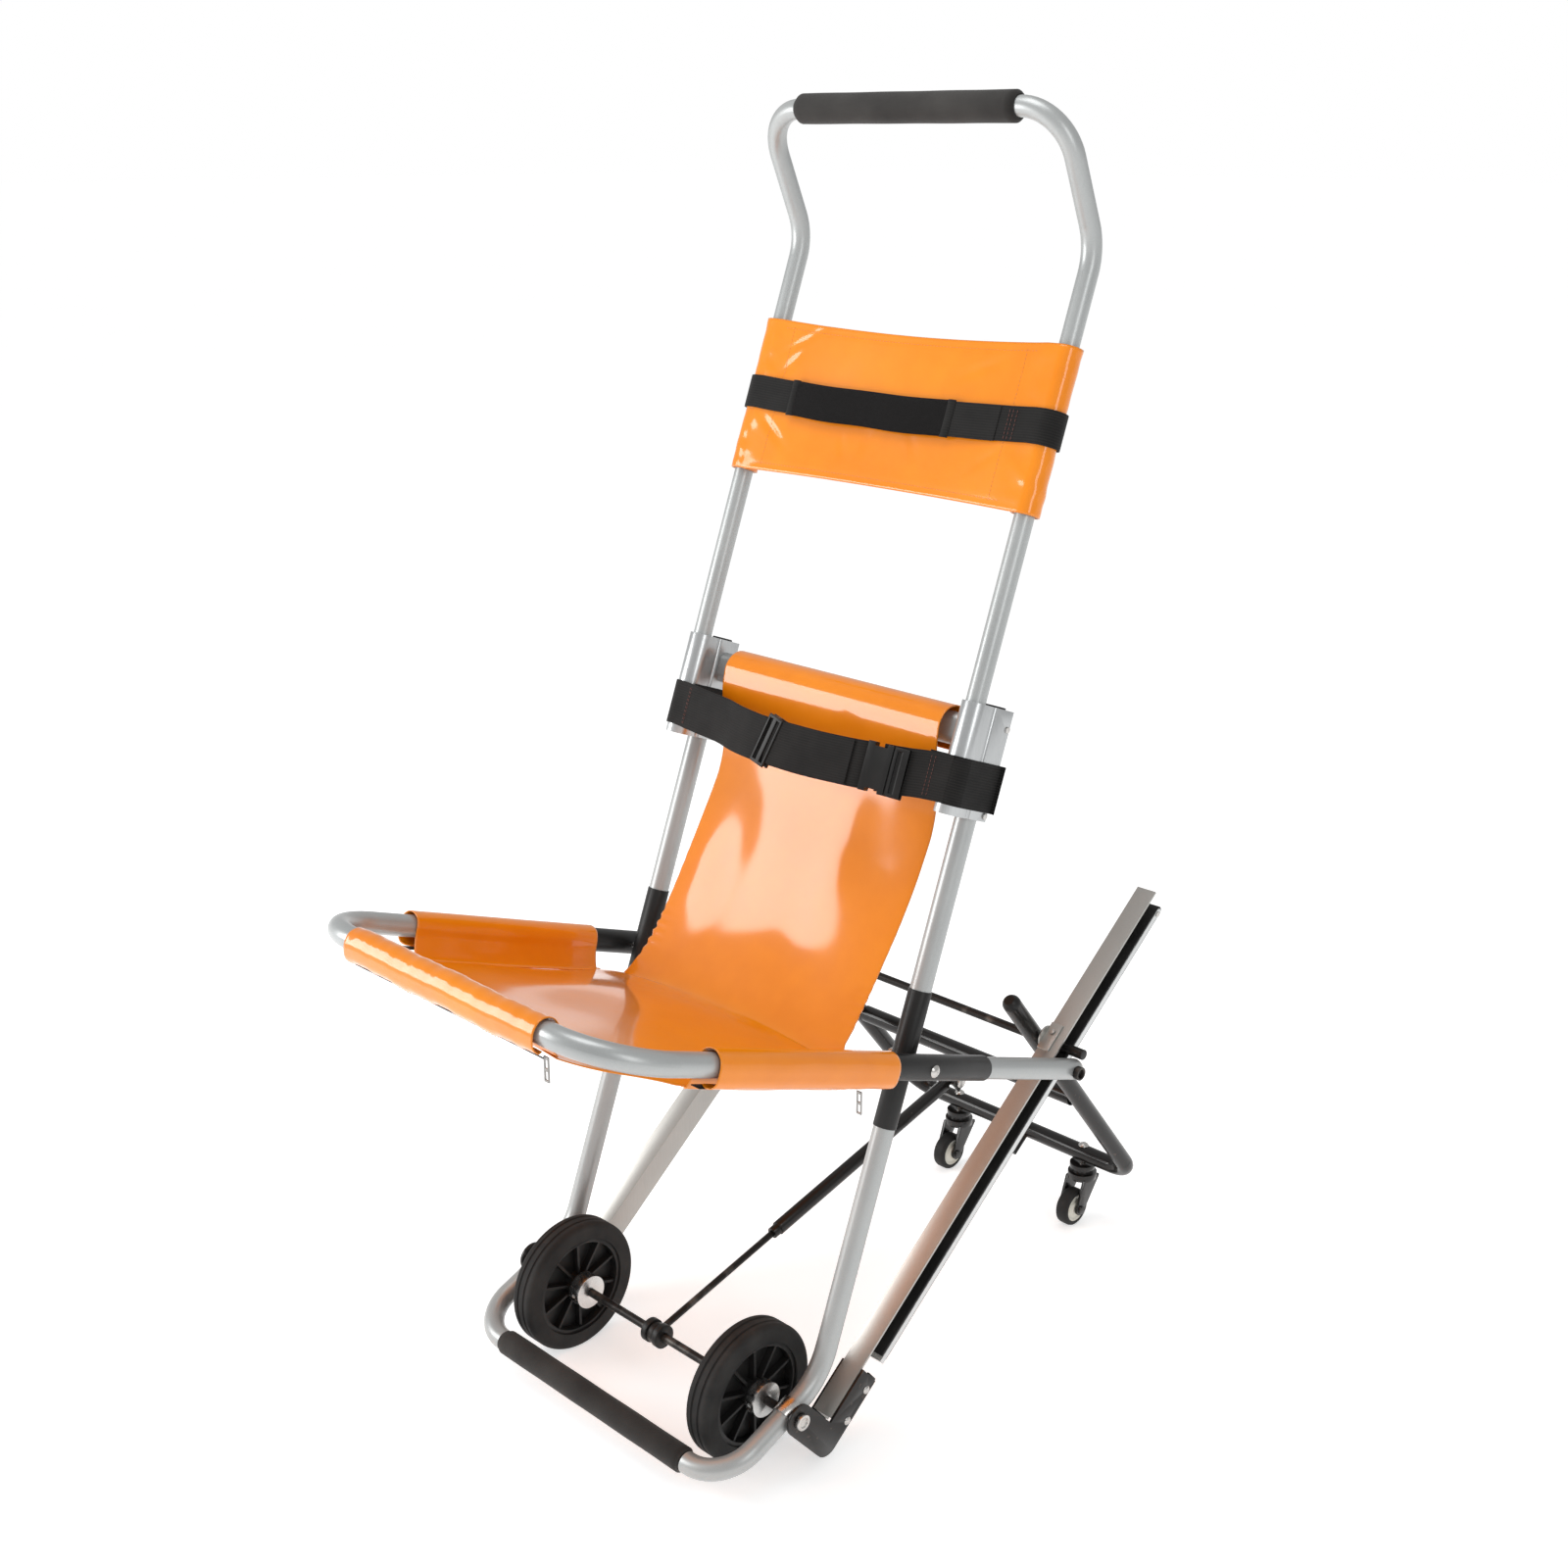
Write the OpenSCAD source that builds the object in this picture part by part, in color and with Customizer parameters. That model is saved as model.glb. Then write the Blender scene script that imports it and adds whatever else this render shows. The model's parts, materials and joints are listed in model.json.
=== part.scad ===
// Folding stair chair: tube frame with a telescoping push handle, sling seat,
// two main wheels, a pair of glide tracks and a fold-out castor frame.
// The chair faces -Y. Its seat, tracks and castor frame fold about X axes.

/* [Frame] */
// Half the distance between the two leg tubes
leg_half_gap = 211; // [200:1:220]
// Outer diameter of the leg tube
leg_d = 24; // [22:0.5:25]
// Outer diameter of the push handle's tube
handle_d = 22; // [20:0.5:22]
// Outer diameter of the seat tube
seat_d = 25; // [22:0.5:25]
// Outer diameter of the castor frame's tube
castor_tube_d = 22; // [20:0.5:22]
// Wall thickness of every tube
wall = 1.6; // [1.2:0.1:2.2]
// Backward lean of the legs from upright
lean = 20.6; // [18:0.1:22]

/* [Seat] */
// Half the distance between the two seat rails
rail_half_gap = 243; // [243:1:248]
// Slope of the seat rails, front end up
seat_slope = 19.7; // [17:0.1:21]
// From the seat pivot to the front bar
seat_depth = 460; // [440:5:480]
// From the seat pivot back to the track pin
rail_back = 271; // [262:1:274]

/* [Push handle] */
// Distance up the legs from the seat pivot to the handle's kink
kink_height = 873; // [850:1:900]
// Distance up the legs from the seat pivot to the grip
grip_height = 982; // [965:1:1000]
// Length of the foam on the push handle
grip_len = 312; // [260:2:314]

/* [Wheels] */
// Diameter of the main wheels
wheel_d = 160; // [150:2:164]
// Width of the main wheels' tyres
tyre_w = 32; // [26:1:34]
// Distance from the chair's middle to each main wheel's middle
wheel_x = 150; // [146:1:152]
// Diameter of the castor wheels
castor_d = 50; // [46:1:52]

/* [Tracks] */
// Slope of the open tracks
track_slope = 39.2; // [37:0.1:41]
// Distance up the track to its top end, from the wheel axle
track_top = 748; // [700:2:760]

/* [Hidden] */
$fn = 48;
axle_y = -202.5;
axle_z = 80;
pivot_y = axle_y + 174.2;
pivot_z = 439.2;
leg_r = leg_d / 2;
handle_r = handle_d / 2;
seat_r = seat_d / 2;
castor_tube_r = castor_tube_d / 2;
gap = 0.3;
running = 0.05;
// a tube swells a little in a bend, and its straight runs lap into the bend
swell = 0.04;
lap = 0.6;
// seat frame: [x, above, forward] from the seat pivot
sleeve_back = 52;
sleeve_front = 320;
panel_drop = 34;
zip_low = -28;
// leg frame: [x, back, up the leg] from the seat pivot
handle_back = -34.4;
leg_top = 384;
foot_kink = [leg_half_gap, 0, -362.7];
foot_corner = [leg_half_gap, -114.8, -468.1];
grip_back = -141.2;
handle_bottom = 272;
block_low = 267;
block_high = 388;
block_r = 14.5;
block_back = 16;
crossbar_up = 356;
belt_up = 303;
belt_w = 52;
belt_t = 1.6;
belt_front = handle_back - block_r - 0.2 - belt_t / 2;
band_low = 589;
band_high = 768;
// track frame: [x, behind, up the track] from the wheel axle
track_x = 214;
track_w = 26;
track_face = 50;
track_depth = 32;
track_low = 24;
plate_t = 3;
bar_up = 526;
bar_behind = 66.5;
arm_x = 185;
arm_up = 522;
arm_top = -17;
arm_low = 404;
cross_behind = 210;
castor_x = 107;
castor_trail = 20;
castor_y = axle_y + arm_up * cos(track_slope) + arm_low * sin(track_slope);
castor_bar_z = axle_z + arm_up * sin(track_slope) - arm_low * cos(track_slope);
axle_r = 5;
bolt_r = 4;
mount_up = 485;
mount_behind = 215;
strut_end_y = axle_y + mount_up * cos(track_slope) + mount_behind * sin(track_slope);
strut_end_z = axle_z + mount_up * sin(track_slope) - mount_behind * cos(track_slope);
strut_len = norm([strut_end_y - axle_y, strut_end_z - axle_z]);
strut_angle = atan2(strut_end_z - axle_z, strut_end_y - axle_y);
cylinder_start = 192;

function unit(v) = v / norm(v);
function cross_unit(a, b) = unit(cross(a, b));
// the tangent length of a bend of radius bend where direction a turns to b
function bend_tangent(a, b, bend) = bend * tan(acos(a * b) / 2);

// children drawn up +Z are carried to point p, with +Z along direction d
module along(p, d) {
    z = unit(d);
    x = cross_unit(abs(z[0]) > 0.9 ? [0, 1, 0] : [1, 0, 0], z);
    y = cross(z, x);
    multmatrix([
        [x[0], y[0], z[0], p[0]],
        [x[1], y[1], z[1], p[1]],
        [x[2], y[2], z[2], p[2]],
        [0, 0, 0, 1]
    ])
        children();
}

module rod(p, q, r) {
    along(p, q - p) cylinder(h = norm(q - p), r = r);
}

module ring(r_out, r_in) {
    difference() {
        circle(r = r_out);
        circle(r = r_in);
    }
}

// the round bend at corner p, between a bar coming along a and one leaving along b
module elbow(p, a, b, bend, r) {
    t = bend_tangent(a, b, bend);
    z = cross_unit(a, b);
    x = -cross(z, a);
    c = p - a * t - x * bend;
    multmatrix([
        [x[0], a[0], z[0], c[0]],
        [x[1], a[1], z[1], c[1]],
        [x[2], a[2], z[2], c[2]],
        [0, 0, 0, 1]
    ])
        rotate_extrude(angle = acos(a * b)) translate([bend, 0]) circle(r = r);
}

// a bent round bar through points, with the bend radius at each inner corner
module bent_rod(points, bends, r) {
    last = len(points) - 1;
    dirs = [for (i = [0:last - 1]) unit(points[i + 1] - points[i])];
    cuts = [for (i = [0:last])
        i == 0 || i == last ? 0 : bend_tangent(dirs[i - 1], dirs[i], bends[i - 1]) - lap];
    for (i = [0:last - 1])
        rod(points[i] + dirs[i] * cuts[i], points[i + 1] - dirs[i] * cuts[i + 1], r);
    for (i = [1:last - 1])
        elbow(points[i], dirs[i - 1], dirs[i], bends[i - 1], r + swell);
}

// the same bar as a tube, open at both ends
module bent_tube(points, bends, r) {
    last = len(points) - 1;
    before = points[0] - unit(points[1] - points[0]);
    after = points[last] + unit(points[last] - points[last - 1]);
    difference() {
        bent_rod(points, bends, r);
        bent_rod([for (i = [0:last]) i == 0 ? before : i == last ? after : points[i]], bends, r - wall);
    }
}

function mirrored(points) = [for (i = [len(points) - 1:-1:0]) [-points[i][0], points[i][1], points[i][2]]];
function reversed(list) = [for (i = [len(list) - 1:-1:0]) list[i]];

module leg_frame() {
    translate([0, pivot_y, pivot_z]) rotate([-lean, 0, 0]) children();
}

module track_frame() {
    translate([0, axle_y, axle_z]) rotate([track_slope - 90, 0, 0]) children();
}

module seat_frame() {
    translate([0, pivot_y, pivot_z]) rotate([90 - seat_slope, 0, 0]) children();
}

// the strut's own frame: +Z runs from the axle to the strut's upper end
module strut_frame() {
    translate([0, axle_y, axle_z]) rotate([strut_angle - 90, 0, 0]) children();
}

module both_sides() {
    children();
    mirror([1, 0, 0]) children();
}

// a bar along X, from x1 to x2, at y, z of the frame in use
module x_bar(x1, x2, y, z, r) {
    translate([x1, y, z]) rotate([0, 90, 0]) cylinder(h = x2 - x1, r = r);
}

// a screw's domed head, r wide and h high
module domed_head(r, h) {
    ball = (r * r + h * h) / (2 * h);
    rotate_extrude() intersection() {
        translate([0, h - ball]) circle(r = ball);
        square([r, h]);
    }
}

// a thin ribbon of thickness t that follows a 2D path, to its left and right
module ribbon(path, t) {
    last = len(path) - 1;
    n = [for (i = [0:last])
        let (a = path[max(i - 1, 0)], b = path[min(i + 1, last)], d = unit(b - a)) [-d[1], d[0]]];
    polygon(concat([for (i = [0:last]) path[i] + n[i] * t / 2],
        reversed([for (i = [0:last]) path[i] - n[i] * t / 2])));
}

// ---- main frame ----

module leg_tube() {
    side = [[leg_half_gap, 0, leg_top], foot_kink, foot_corner];
    color([0.76, 0.77, 0.76])
    difference() {
        leg_frame() bent_tube(concat(side, mirrored(side)), [80, 50, 50, 80], leg_r);
        translate([0, axle_y, axle_z]) x_bar(-240, 240, 0, 0, axle_r + running);
        translate([0, pivot_y, pivot_z]) x_bar(-240, 240, 0, 0, bolt_r + running);
    }
}

module leg_sleeves() {
    color([0.07, 0.07, 0.07])
    difference() {
        leg_frame() both_sides() translate([leg_half_gap, 0, -77])
            linear_extrude(153) ring(leg_r + 1, leg_r);
        translate([0, pivot_y, pivot_z]) x_bar(-240, 240, 0, 0, bolt_r + running);
    }
}

module foot_grip() {
    color([0.17, 0.16, 0.15])
    leg_frame() translate([-157, foot_corner[1], foot_corner[2]])
        rotate([0, 90, 0]) linear_extrude(314) ring(14.5, leg_r);
}

module block_outline(grow) {
    translate([0, handle_back]) circle(r = block_r + grow);
    translate([-block_r - grow, handle_back])
        square([2 * (block_r + grow), block_back - handle_back + grow]);
}

module clamp_block() {
    difference() {
        translate([0, 0, block_low]) linear_extrude(block_high - block_low)
            difference() {
                block_outline(0);
                circle(r = leg_r);
                translate([0, handle_back]) circle(r = handle_r + running);
                // grooves between the two tube bores
                for (side = [-1, 1]) translate([side * (block_r + 1.5), handle_back / 2]) circle(r = 4);
            }
        for (z = [block_low + 6, block_high - 20]) x_bar(8, 20, block_back - 4, z, 2);
    }
}

module block_left() {
    color([0.80, 0.81, 0.81]) leg_frame() translate([leg_half_gap, 0, 0]) clamp_block();
}

module block_right() {
    color([0.80, 0.81, 0.81]) leg_frame() mirror([1, 0, 0]) translate([leg_half_gap, 0, 0]) clamp_block();
}

module block_screws() {
    color([0.7, 0.7, 0.7]) leg_frame() both_sides()
        for (z = [block_low + 6, block_high - 20]) {
            x_bar(leg_half_gap + 8, leg_half_gap + block_r, block_back - 4, z, 2);
            x_bar(leg_half_gap + block_r, leg_half_gap + block_r + 1.6, block_back - 4, z, 3.4);
        }
}

module leg_caps() {
    color([0.06, 0.06, 0.06]) leg_frame() both_sides() translate([leg_half_gap, 0, 0]) {
        translate([0, 0, leg_top]) cylinder(h = 6, r = leg_r);
        translate([0, 0, leg_top - 14]) cylinder(h = 14, r = leg_r - wall);
    }
}

// flat-sided bar with round edges that joins the two clamp blocks
module crossbar() {
    reach = leg_half_gap - block_r;
    color([0.76, 0.77, 0.76]) leg_frame() translate([-reach, 0, crossbar_up]) rotate([90, 0, 90])
        linear_extrude(2 * reach) difference() {
            crossbar_outline(0);
            crossbar_outline(-wall);
        }
}

module crossbar_outline(grow) {
    for (side = [-1, 1]) translate([0, side * 8]) circle(r = 10 + grow);
    square([20 + 2 * grow, 16], center = true);
}

module axle() {
    color([0.2, 0.2, 0.2]) x_bar(-233, 233, axle_y, axle_z, axle_r);
}

module wheel_collars() {
    inner = wheel_x - tyre_w / 2 - 0.5;
    outer = wheel_x + tyre_w / 2 + 0.5;
    color([0.78, 0.78, 0.77]) translate([0, axle_y, axle_z]) both_sides()
        difference() {
            union() {
                x_bar(inner - 16, inner, 0, 0, 20);
                x_bar(outer, outer + 12, 0, 0, 20);
            }
            x_bar(100, 200, 0, 0, axle_r);
            // set screw hole in each collar's rim
            for (x = [inner - 8, outer + 6])
                translate([x, -8, 0]) rotate([90, 0, 0]) cylinder(h = 16, r = 2.5);
        }
}

module axle_nuts() {
    color([0.55, 0.55, 0.53]) translate([0, axle_y, axle_z]) both_sides() {
        difference() {
            x_bar(230.4, 236, 0, 0, 9);
            x_bar(230, 233, 0, 0, axle_r);
            x_bar(234.5, 237, 0, 0, 5.5);
        }
    }
}

// round sheet clip that seats the axle on the foot tube
module axle_saddles() {
    dir = unit(foot_corner - foot_kink);
    at = foot_kink + dir * 49;
    color([0.85, 0.85, 0.85]) difference() {
        leg_frame() for (side = [-1, 1])
            along([side * at[0], at[1], at[2]] - dir * 10, dir) linear_extrude(20) ring(leg_r + 2, leg_r);
        translate([0, axle_y, axle_z]) x_bar(-240, 240, 0, 0, axle_r + running);
    }
}

module strut_collar() {
    color([0.08, 0.08, 0.08]) translate([0, axle_y, axle_z]) difference() {
        union() {
            x_bar(-13, -5, 0, 0, 14);
            x_bar(5, 13, 0, 0, 14);
        }
        x_bar(-20, 20, 0, 0, axle_r);
    }
}

module seat_pivot_bolts() {
    color([0.72, 0.72, 0.7]) translate([0, pivot_y, pivot_z]) both_sides() {
        x_bar(leg_half_gap - leg_r - 1, rail_half_gap + seat_r + 2.3, 0, 0, bolt_r);
        translate([rail_half_gap + seat_r + 2.1, 0, 0]) rotate([0, 90, 0]) domed_head(7, 3.6);
        x_bar(leg_half_gap - leg_r - 5, leg_half_gap - leg_r - 1, 0, 0, 6.5);
    }
}

module belt_loop() {
    translate([leg_half_gap, 0, belt_up - belt_w / 2]) linear_extrude(belt_w) difference() {
        block_outline(0.2 + belt_t);
        block_outline(0.2);
    }
}

// a flat strip, w wide up the leg and t thick, whose middle follows 3D points
module strip(points, w, t) {
    last = len(points) - 1;
    n = [for (i = [0:last])
        let (d = points[min(i + 1, last)] - points[max(i - 1, 0)]) unit([-d[1], d[0], 0]) * t / 2];
    up = [0, 0, w / 2];
    rings = [for (i = [0:last]) each [points[i] - n[i] - up, points[i] + n[i] - up,
        points[i] + n[i] + up, points[i] - n[i] + up]];
    sides = [for (i = [0:last - 1]) each [for (k = [0:3])
        [4 * i + k, 4 * i + 4 + k, 4 * i + 4 + (k + 1) % 4, 4 * i + (k + 1) % 4]]];
    polyhedron(rings, concat([[0, 1, 2, 3]], sides, [[4 * last + 3, 4 * last + 2, 4 * last + 1, 4 * last]]));
}

module waist_belt_left() {
    color([0.09, 0.09, 0.09]) leg_frame() {
        belt_loop();
        strip([[leg_half_gap + 4, belt_front - 0.6, belt_up], [176, belt_front - 1.4, 301],
            [161.5, -54.6, 298]], belt_w - 1, belt_t);
    }
}

module waist_belt_right() {
    color([0.09, 0.09, 0.09]) leg_frame() {
        mirror([1, 0, 0]) belt_loop();
        strip([[-leg_half_gap - 4, belt_front - 0.6, belt_up], [-180, belt_front - 3, 300],
            [-116, -61, 297], [-80, -71.5, 293], [-40, -79, 290.5], [0, -80, 290], [49, -79, 290.5],
            [99, -74, 293], [116.5, -68.4, 294.5]], belt_w - 1, belt_t);
    }
}

module belt_slider() {
    color([0.05, 0.05, 0.05]) leg_frame() translate([-21, -79.5, 290.5]) rotate([0, 14, 0]) difference() {
        union() {
            translate([-11, -5, -29]) cube([22, 2.6, 58]);
            translate([-11, 2.4, -29]) cube([22, 2.6, 58]);
            for (z = [-29, 27.4]) translate([-4, -5, z]) cube([8, 10, 1.6]);
        }
        translate([-8, -6, -25]) cube([5, 5, 50]);
        translate([3, -6, -25]) cube([5, 5, 50]);
    }
}

// the buckle's frame: +X along the belt, with the joint between its halves at x = 30
module buckle_frame() {
    leg_frame() translate([115, -68.8, 294.5]) rotate([0, 0, 17]) children();
}

// stiff plastic half that the prongs click into
module buckle_socket() {
    color([0.05, 0.05, 0.05]) buckle_frame() difference() {
        translate([0, -6, -27]) cube([30, 12, 54]);
        translate([12, -3.6, -23]) cube([30, 7.2, 46]);
        for (side = [-1, 1]) translate([8, -10, side * 27 - 4]) cube([15, 20, 8]);
        translate([-1, -3, -26.2]) cube([4, 6, 52.4]);
    }
}

module buckle_prong() {
    color([0.05, 0.05, 0.05]) buckle_frame() difference() {
        union() {
            translate([30.3, -5, -27]) cube([18, 10, 54]);
            for (z = [-21, -3, 15]) translate([14, -2.6, z]) cube([17, 5.2, 6]);
        }
        translate([45, -3, -26.2]) cube([5, 6, 52.4]);
        translate([35, -6, -23]) cube([5, 3.4, 46]);
    }
}

// the fixed half of the sling: a sleeve round the crossbar and the panel below it
sling_path = [[15, 338], [14, 300], [12, 262], [5, 217], [-8, 139], [-18, 88], [-25, 47],
    [-37, 14], [-55, -12], [-75, -26]];

module sling_back() {
    half = 168;
    color([0.95, 0.52, 0.10]) leg_frame() translate([-half, 0, 0]) rotate([90, 0, 90])
        linear_extrude(2 * half) difference() {
            union() {
                translate([-3, crossbar_up]) circle(r = 24);
                ribbon(sling_path, 3);
            }
            translate([-3, crossbar_up]) circle(r = 21.4);
        }
}

// ---- push handle ----

module handle_tube() {
    side = [[leg_half_gap, handle_back, handle_bottom], [leg_half_gap, handle_back, kink_height],
        [leg_half_gap, grip_back, grip_height]];
    color([0.76, 0.77, 0.76]) leg_frame()
        bent_tube(concat(side, mirrored(side)), [65, 54, 54, 65], handle_r);
}

module handle_grip() {
    color([0.17, 0.16, 0.15]) leg_frame() translate([-grip_len / 2, grip_back, grip_height])
        rotate([0, 90, 0]) linear_extrude(grip_len) ring(16.5, handle_r);
}

module handle_plugs() {
    color([0.06, 0.06, 0.06]) leg_frame() both_sides() translate([leg_half_gap, handle_back, 0]) {
        translate([0, 0, handle_bottom - 3]) cylinder(h = 3, r = handle_r);
        translate([0, 0, handle_bottom]) cylinder(h = 12, r = handle_r - wall);
    }
}

module band_outline(grow) {
    for (side = [-1, 1]) translate([side * leg_half_gap, 0]) circle(r = 14.6 + grow);
    translate([-leg_half_gap, -14.6 - grow]) square([2 * leg_half_gap, 4 + grow]);
}

module back_band() {
    color([0.95, 0.52, 0.10]) leg_frame() translate([0, handle_back, band_low])
        linear_extrude(band_high - band_low) difference() {
            band_outline(0);
            for (side = [-1, 1]) translate([side * leg_half_gap, 0]) circle(r = handle_r + gap);
        }
}

// flat strap round the outside of the band, front and back
module head_strap() {
    color([0.08, 0.08, 0.08]) leg_frame() translate([0, handle_back, 661]) linear_extrude(38) {
        for (side = [-1, 1]) translate([side * leg_half_gap, 0]) difference() {
            ring(17, 15);
            translate([side > 0 ? -40 : 0, -20]) square(40);
        }
        translate([-leg_half_gap, -17]) square([2 * leg_half_gap, 2]);
        translate([-leg_half_gap, 15]) square([2 * leg_half_gap, 2]);
    }
}

module strap_patch() {
    color([0.04, 0.04, 0.04]) leg_frame() translate([-145, handle_back - 20, 660])
        cube([240, 2.8, 40]);
}

// ---- seat ----

module seat_tube() {
    side = [[rail_half_gap, 0, -rail_back - 10], [rail_half_gap, 0, seat_depth]];
    color([0.76, 0.77, 0.76]) difference() {
        seat_frame() bent_tube(concat(side, mirrored(side)), [80, 80], seat_r);
        translate([0, pivot_y, pivot_z]) x_bar(-280, 280, 0, 0, bolt_r + running);
        seat_frame() x_bar(-280, 280, 0, -rail_back, bolt_r);
    }
}

module rail_sleeves() {
    color([0.07, 0.07, 0.07]) difference() {
        seat_frame() both_sides() translate([rail_half_gap, 0, -102])
            linear_extrude(152) ring(seat_r + 1.8, seat_r);
        translate([0, pivot_y, pivot_z]) x_bar(-280, 280, 0, 0, bolt_r + running);
    }
}

module rail_caps() {
    color([0.72, 0.73, 0.72]) seat_frame() both_sides() translate([rail_half_gap, 0, -rail_back - 10])
        intersection() {
            sphere(r = seat_r);
            translate([-20, -20, -30]) cube([40, 40, 30]);
        }
}

module rail_pins() {
    color([0.45, 0.44, 0.42]) seat_frame() both_sides() {
        x_bar(rail_half_gap - seat_r - 1, rail_half_gap + seat_r + 2, 0, -rail_back, bolt_r);
        difference() {
            x_bar(rail_half_gap + seat_r, rail_half_gap + seat_r + 7, 0, -rail_back, 8);
            x_bar(rail_half_gap + seat_r + 2, rail_half_gap + seat_r + 8, 0, -rail_back, 5.6);
        }
    }
}

module sling_seat() {
    inner = rail_half_gap - seat_r - 1.5;
    color([0.93, 0.50, 0.10]) seat_frame() {
        both_sides() translate([rail_half_gap, 0, sleeve_back]) linear_extrude(sleeve_front - sleeve_back) {
            ring(seat_r + 2.6, seat_r + gap);
            translate([-seat_r - 2.6, -panel_drop - 2]) square([2.2, panel_drop + 2]);
        }
        translate([-155, 0, seat_depth]) rotate([0, 90, 0])
            linear_extrude(310) ring(seat_r + 3.5, seat_r + gap);
        translate([0, -panel_drop, 0]) rotate([90, 0, 0]) linear_extrude(3) polygon([[-inner, 88],
            [inner, 88], [inner, sleeve_front], [153, seat_depth - 18], [-153, seat_depth - 18],
            [-inner, sleeve_front]]);
    }
}

module zips() {
    color([0.06, 0.06, 0.06]) seat_frame() {
        translate([-158, -seat_r - 6.8, seat_depth - 6]) cube([324, 3, 12]);
        both_sides() translate([rail_half_gap - 12, zip_low, sleeve_back - 4]) cube([12, 3, 276]);
    }
}

module zip_pull(x, y, z) {
    translate([x, y, z]) difference() {
        translate([-3.5, -0.8, -26]) cube([7, 1.6, 26]);
        translate([-2, -2, -24]) cube([4, 4, 9]);
        translate([-2, -2, -12]) cube([4, 4, 9]);
    }
}

// one pull at the front bar and one at the rear end of each rail's zip
module zip_pulls() {
    front_up = -seat_r - 6.8;
    front_y = pivot_y - seat_depth * cos(seat_slope) + front_up * sin(seat_slope);
    front_z = pivot_z + seat_depth * sin(seat_slope) + front_up * cos(seat_slope);
    rear = sleeve_back + 40;
    rear_y = pivot_y - rear * cos(seat_slope) + zip_low * sin(seat_slope);
    rear_z = pivot_z + rear * sin(seat_slope) + zip_low * cos(seat_slope);
    color([0.75, 0.72, 0.7]) {
        zip_pull(162, front_y, front_z - 0.5);
        for (side = [-1, 1]) zip_pull(side * (rail_half_gap - 6), rear_y, rear_z - 0.5);
    }
}

// ---- tracks ----

module track() {
    inner = track_x - track_w / 2;
    difference() {
        translate([inner, track_face, track_low]) union() {
            cube([track_w, 2.5, track_top - track_low]);
            cube([2.6, track_depth, track_top - track_low]);
        }
        x_bar(inner - 1, inner + 4, bar_behind, bar_up, 5);
    }
}

module track_left() {
    color([0.72, 0.69, 0.65]) track_frame() track();
}

module track_right() {
    color([0.72, 0.69, 0.65]) track_frame() mirror([1, 0, 0]) track();
}

guide_behind = 78;
guide_r = 3.5;
belt_thick = 2.2;

// the belt's guide: a bar with round ends, screwed to the web of each track
module guide_bars() {
    color([0.62, 0.63, 0.62]) track_frame() both_sides() difference() {
        translate([track_x - track_w / 2 + 2.6, guide_behind, 0]) {
            translate([0, -guide_r, track_low + 82])
                cube([track_w - 2.6, 2 * guide_r, track_top - track_low - 92]);
            translate([0, 0, track_top - 10]) rotate([0, 90, 0]) cylinder(h = track_w - 2.6, r = guide_r);
        }
        x_bar(track_x + 6, track_x + 20, guide_behind, track_top - 14, 2);
    }
}

// flat friction belt, one closed loop round each guide
module track_belts() {
    low = track_low + 88;
    high = track_top - 10;
    color([0.05, 0.05, 0.05]) track_frame() both_sides()
        translate([track_x - track_w / 2 + 3, 0, 0]) {
            translate([0, guide_behind - guide_r - 0.1 - belt_thick, low])
                cube([track_w - 4, belt_thick, high - low]);
            translate([0, guide_behind + guide_r + 0.1, low]) cube([track_w - 4, belt_thick, high - low]);
            translate([0, guide_behind, high]) rotate([0, 90, 0]) linear_extrude(track_w - 4)
                intersection() {
                    ring(guide_r + 0.1 + belt_thick, guide_r + 0.1);
                    translate([-20, -20]) square([20, 40]);
                }
        }
}

// outline of the bracket's outer plate: [behind, up the track]
module bracket_outline() {
    difference() {
        union() {
            circle(r = 18);
            hull() {
                circle(r = 18);
                translate([64, 2]) circle(r = 18);
            }
            translate([51, 2]) square([31, 84]);
            translate([64, 84]) square([16, 4]);
        }
        circle(r = axle_r + running);
    }
}

module track_brackets() {
    inner = track_x - track_w / 2;
    outer = track_x + track_w / 2;
    color([0.07, 0.07, 0.07]) track_frame() both_sides() difference() {
        union() {
            translate([outer, 0, 0]) rotate([90, 0, 90]) linear_extrude(plate_t) bracket_outline();
            translate([inner - 2.5, track_face, 4]) cube([2.4, track_depth, 82]);
            translate([inner - 2.5, 48, 2]) cube([outer - inner + 3, 32, 18]);
        }
        for (z = [33, 72]) x_bar(outer - 1, outer + 5, 76, z, 2.5);
    }
}

module bracket_screws() {
    outer = track_x + track_w / 2;
    color([0.8, 0.8, 0.8]) track_frame() both_sides() {
        for (z = [33, 72]) {
            x_bar(outer - 0.5, outer + plate_t, 76, z, 2.5);
            translate([outer + plate_t, 76, z]) rotate([0, 90, 0]) domed_head(5, 2.2);
        }
        x_bar(outer, outer + 1.4, guide_behind, track_top - 14, 3.4);
    }
}

// flat ears riveted inside each track that the castor frame's bar is held by
module pivot_tabs() {
    inner = track_x - track_w / 2;
    color([0.72, 0.69, 0.65]) track_frame() both_sides() {
        difference() {
            union() {
                translate([inner, track_face - 0.5, bar_up - 18]) translate([0, -2, 0]) cube([16, 2.4, 36]);
                translate([inner - 2.2, 55, bar_up - 14]) cube([2.1, 19, 28]);
                translate([inner - 2.2, 55, bar_up]) rotate([0, 90, 0]) cylinder(h = 2.1, r = 14);
            }
            x_bar(inner - 4, inner + 1, bar_behind, bar_up, 5);
        }
        translate([inner + 8, track_face - 3.4, bar_up + 6]) rotate([90, 0, 0]) cylinder(h = 1.6, r = 3.5);
    }
}

module castor_pivot_bar() {
    color([0.1, 0.09, 0.08]) track_frame() x_bar(-236, 236, bar_behind, bar_up, 5);
}

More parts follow.
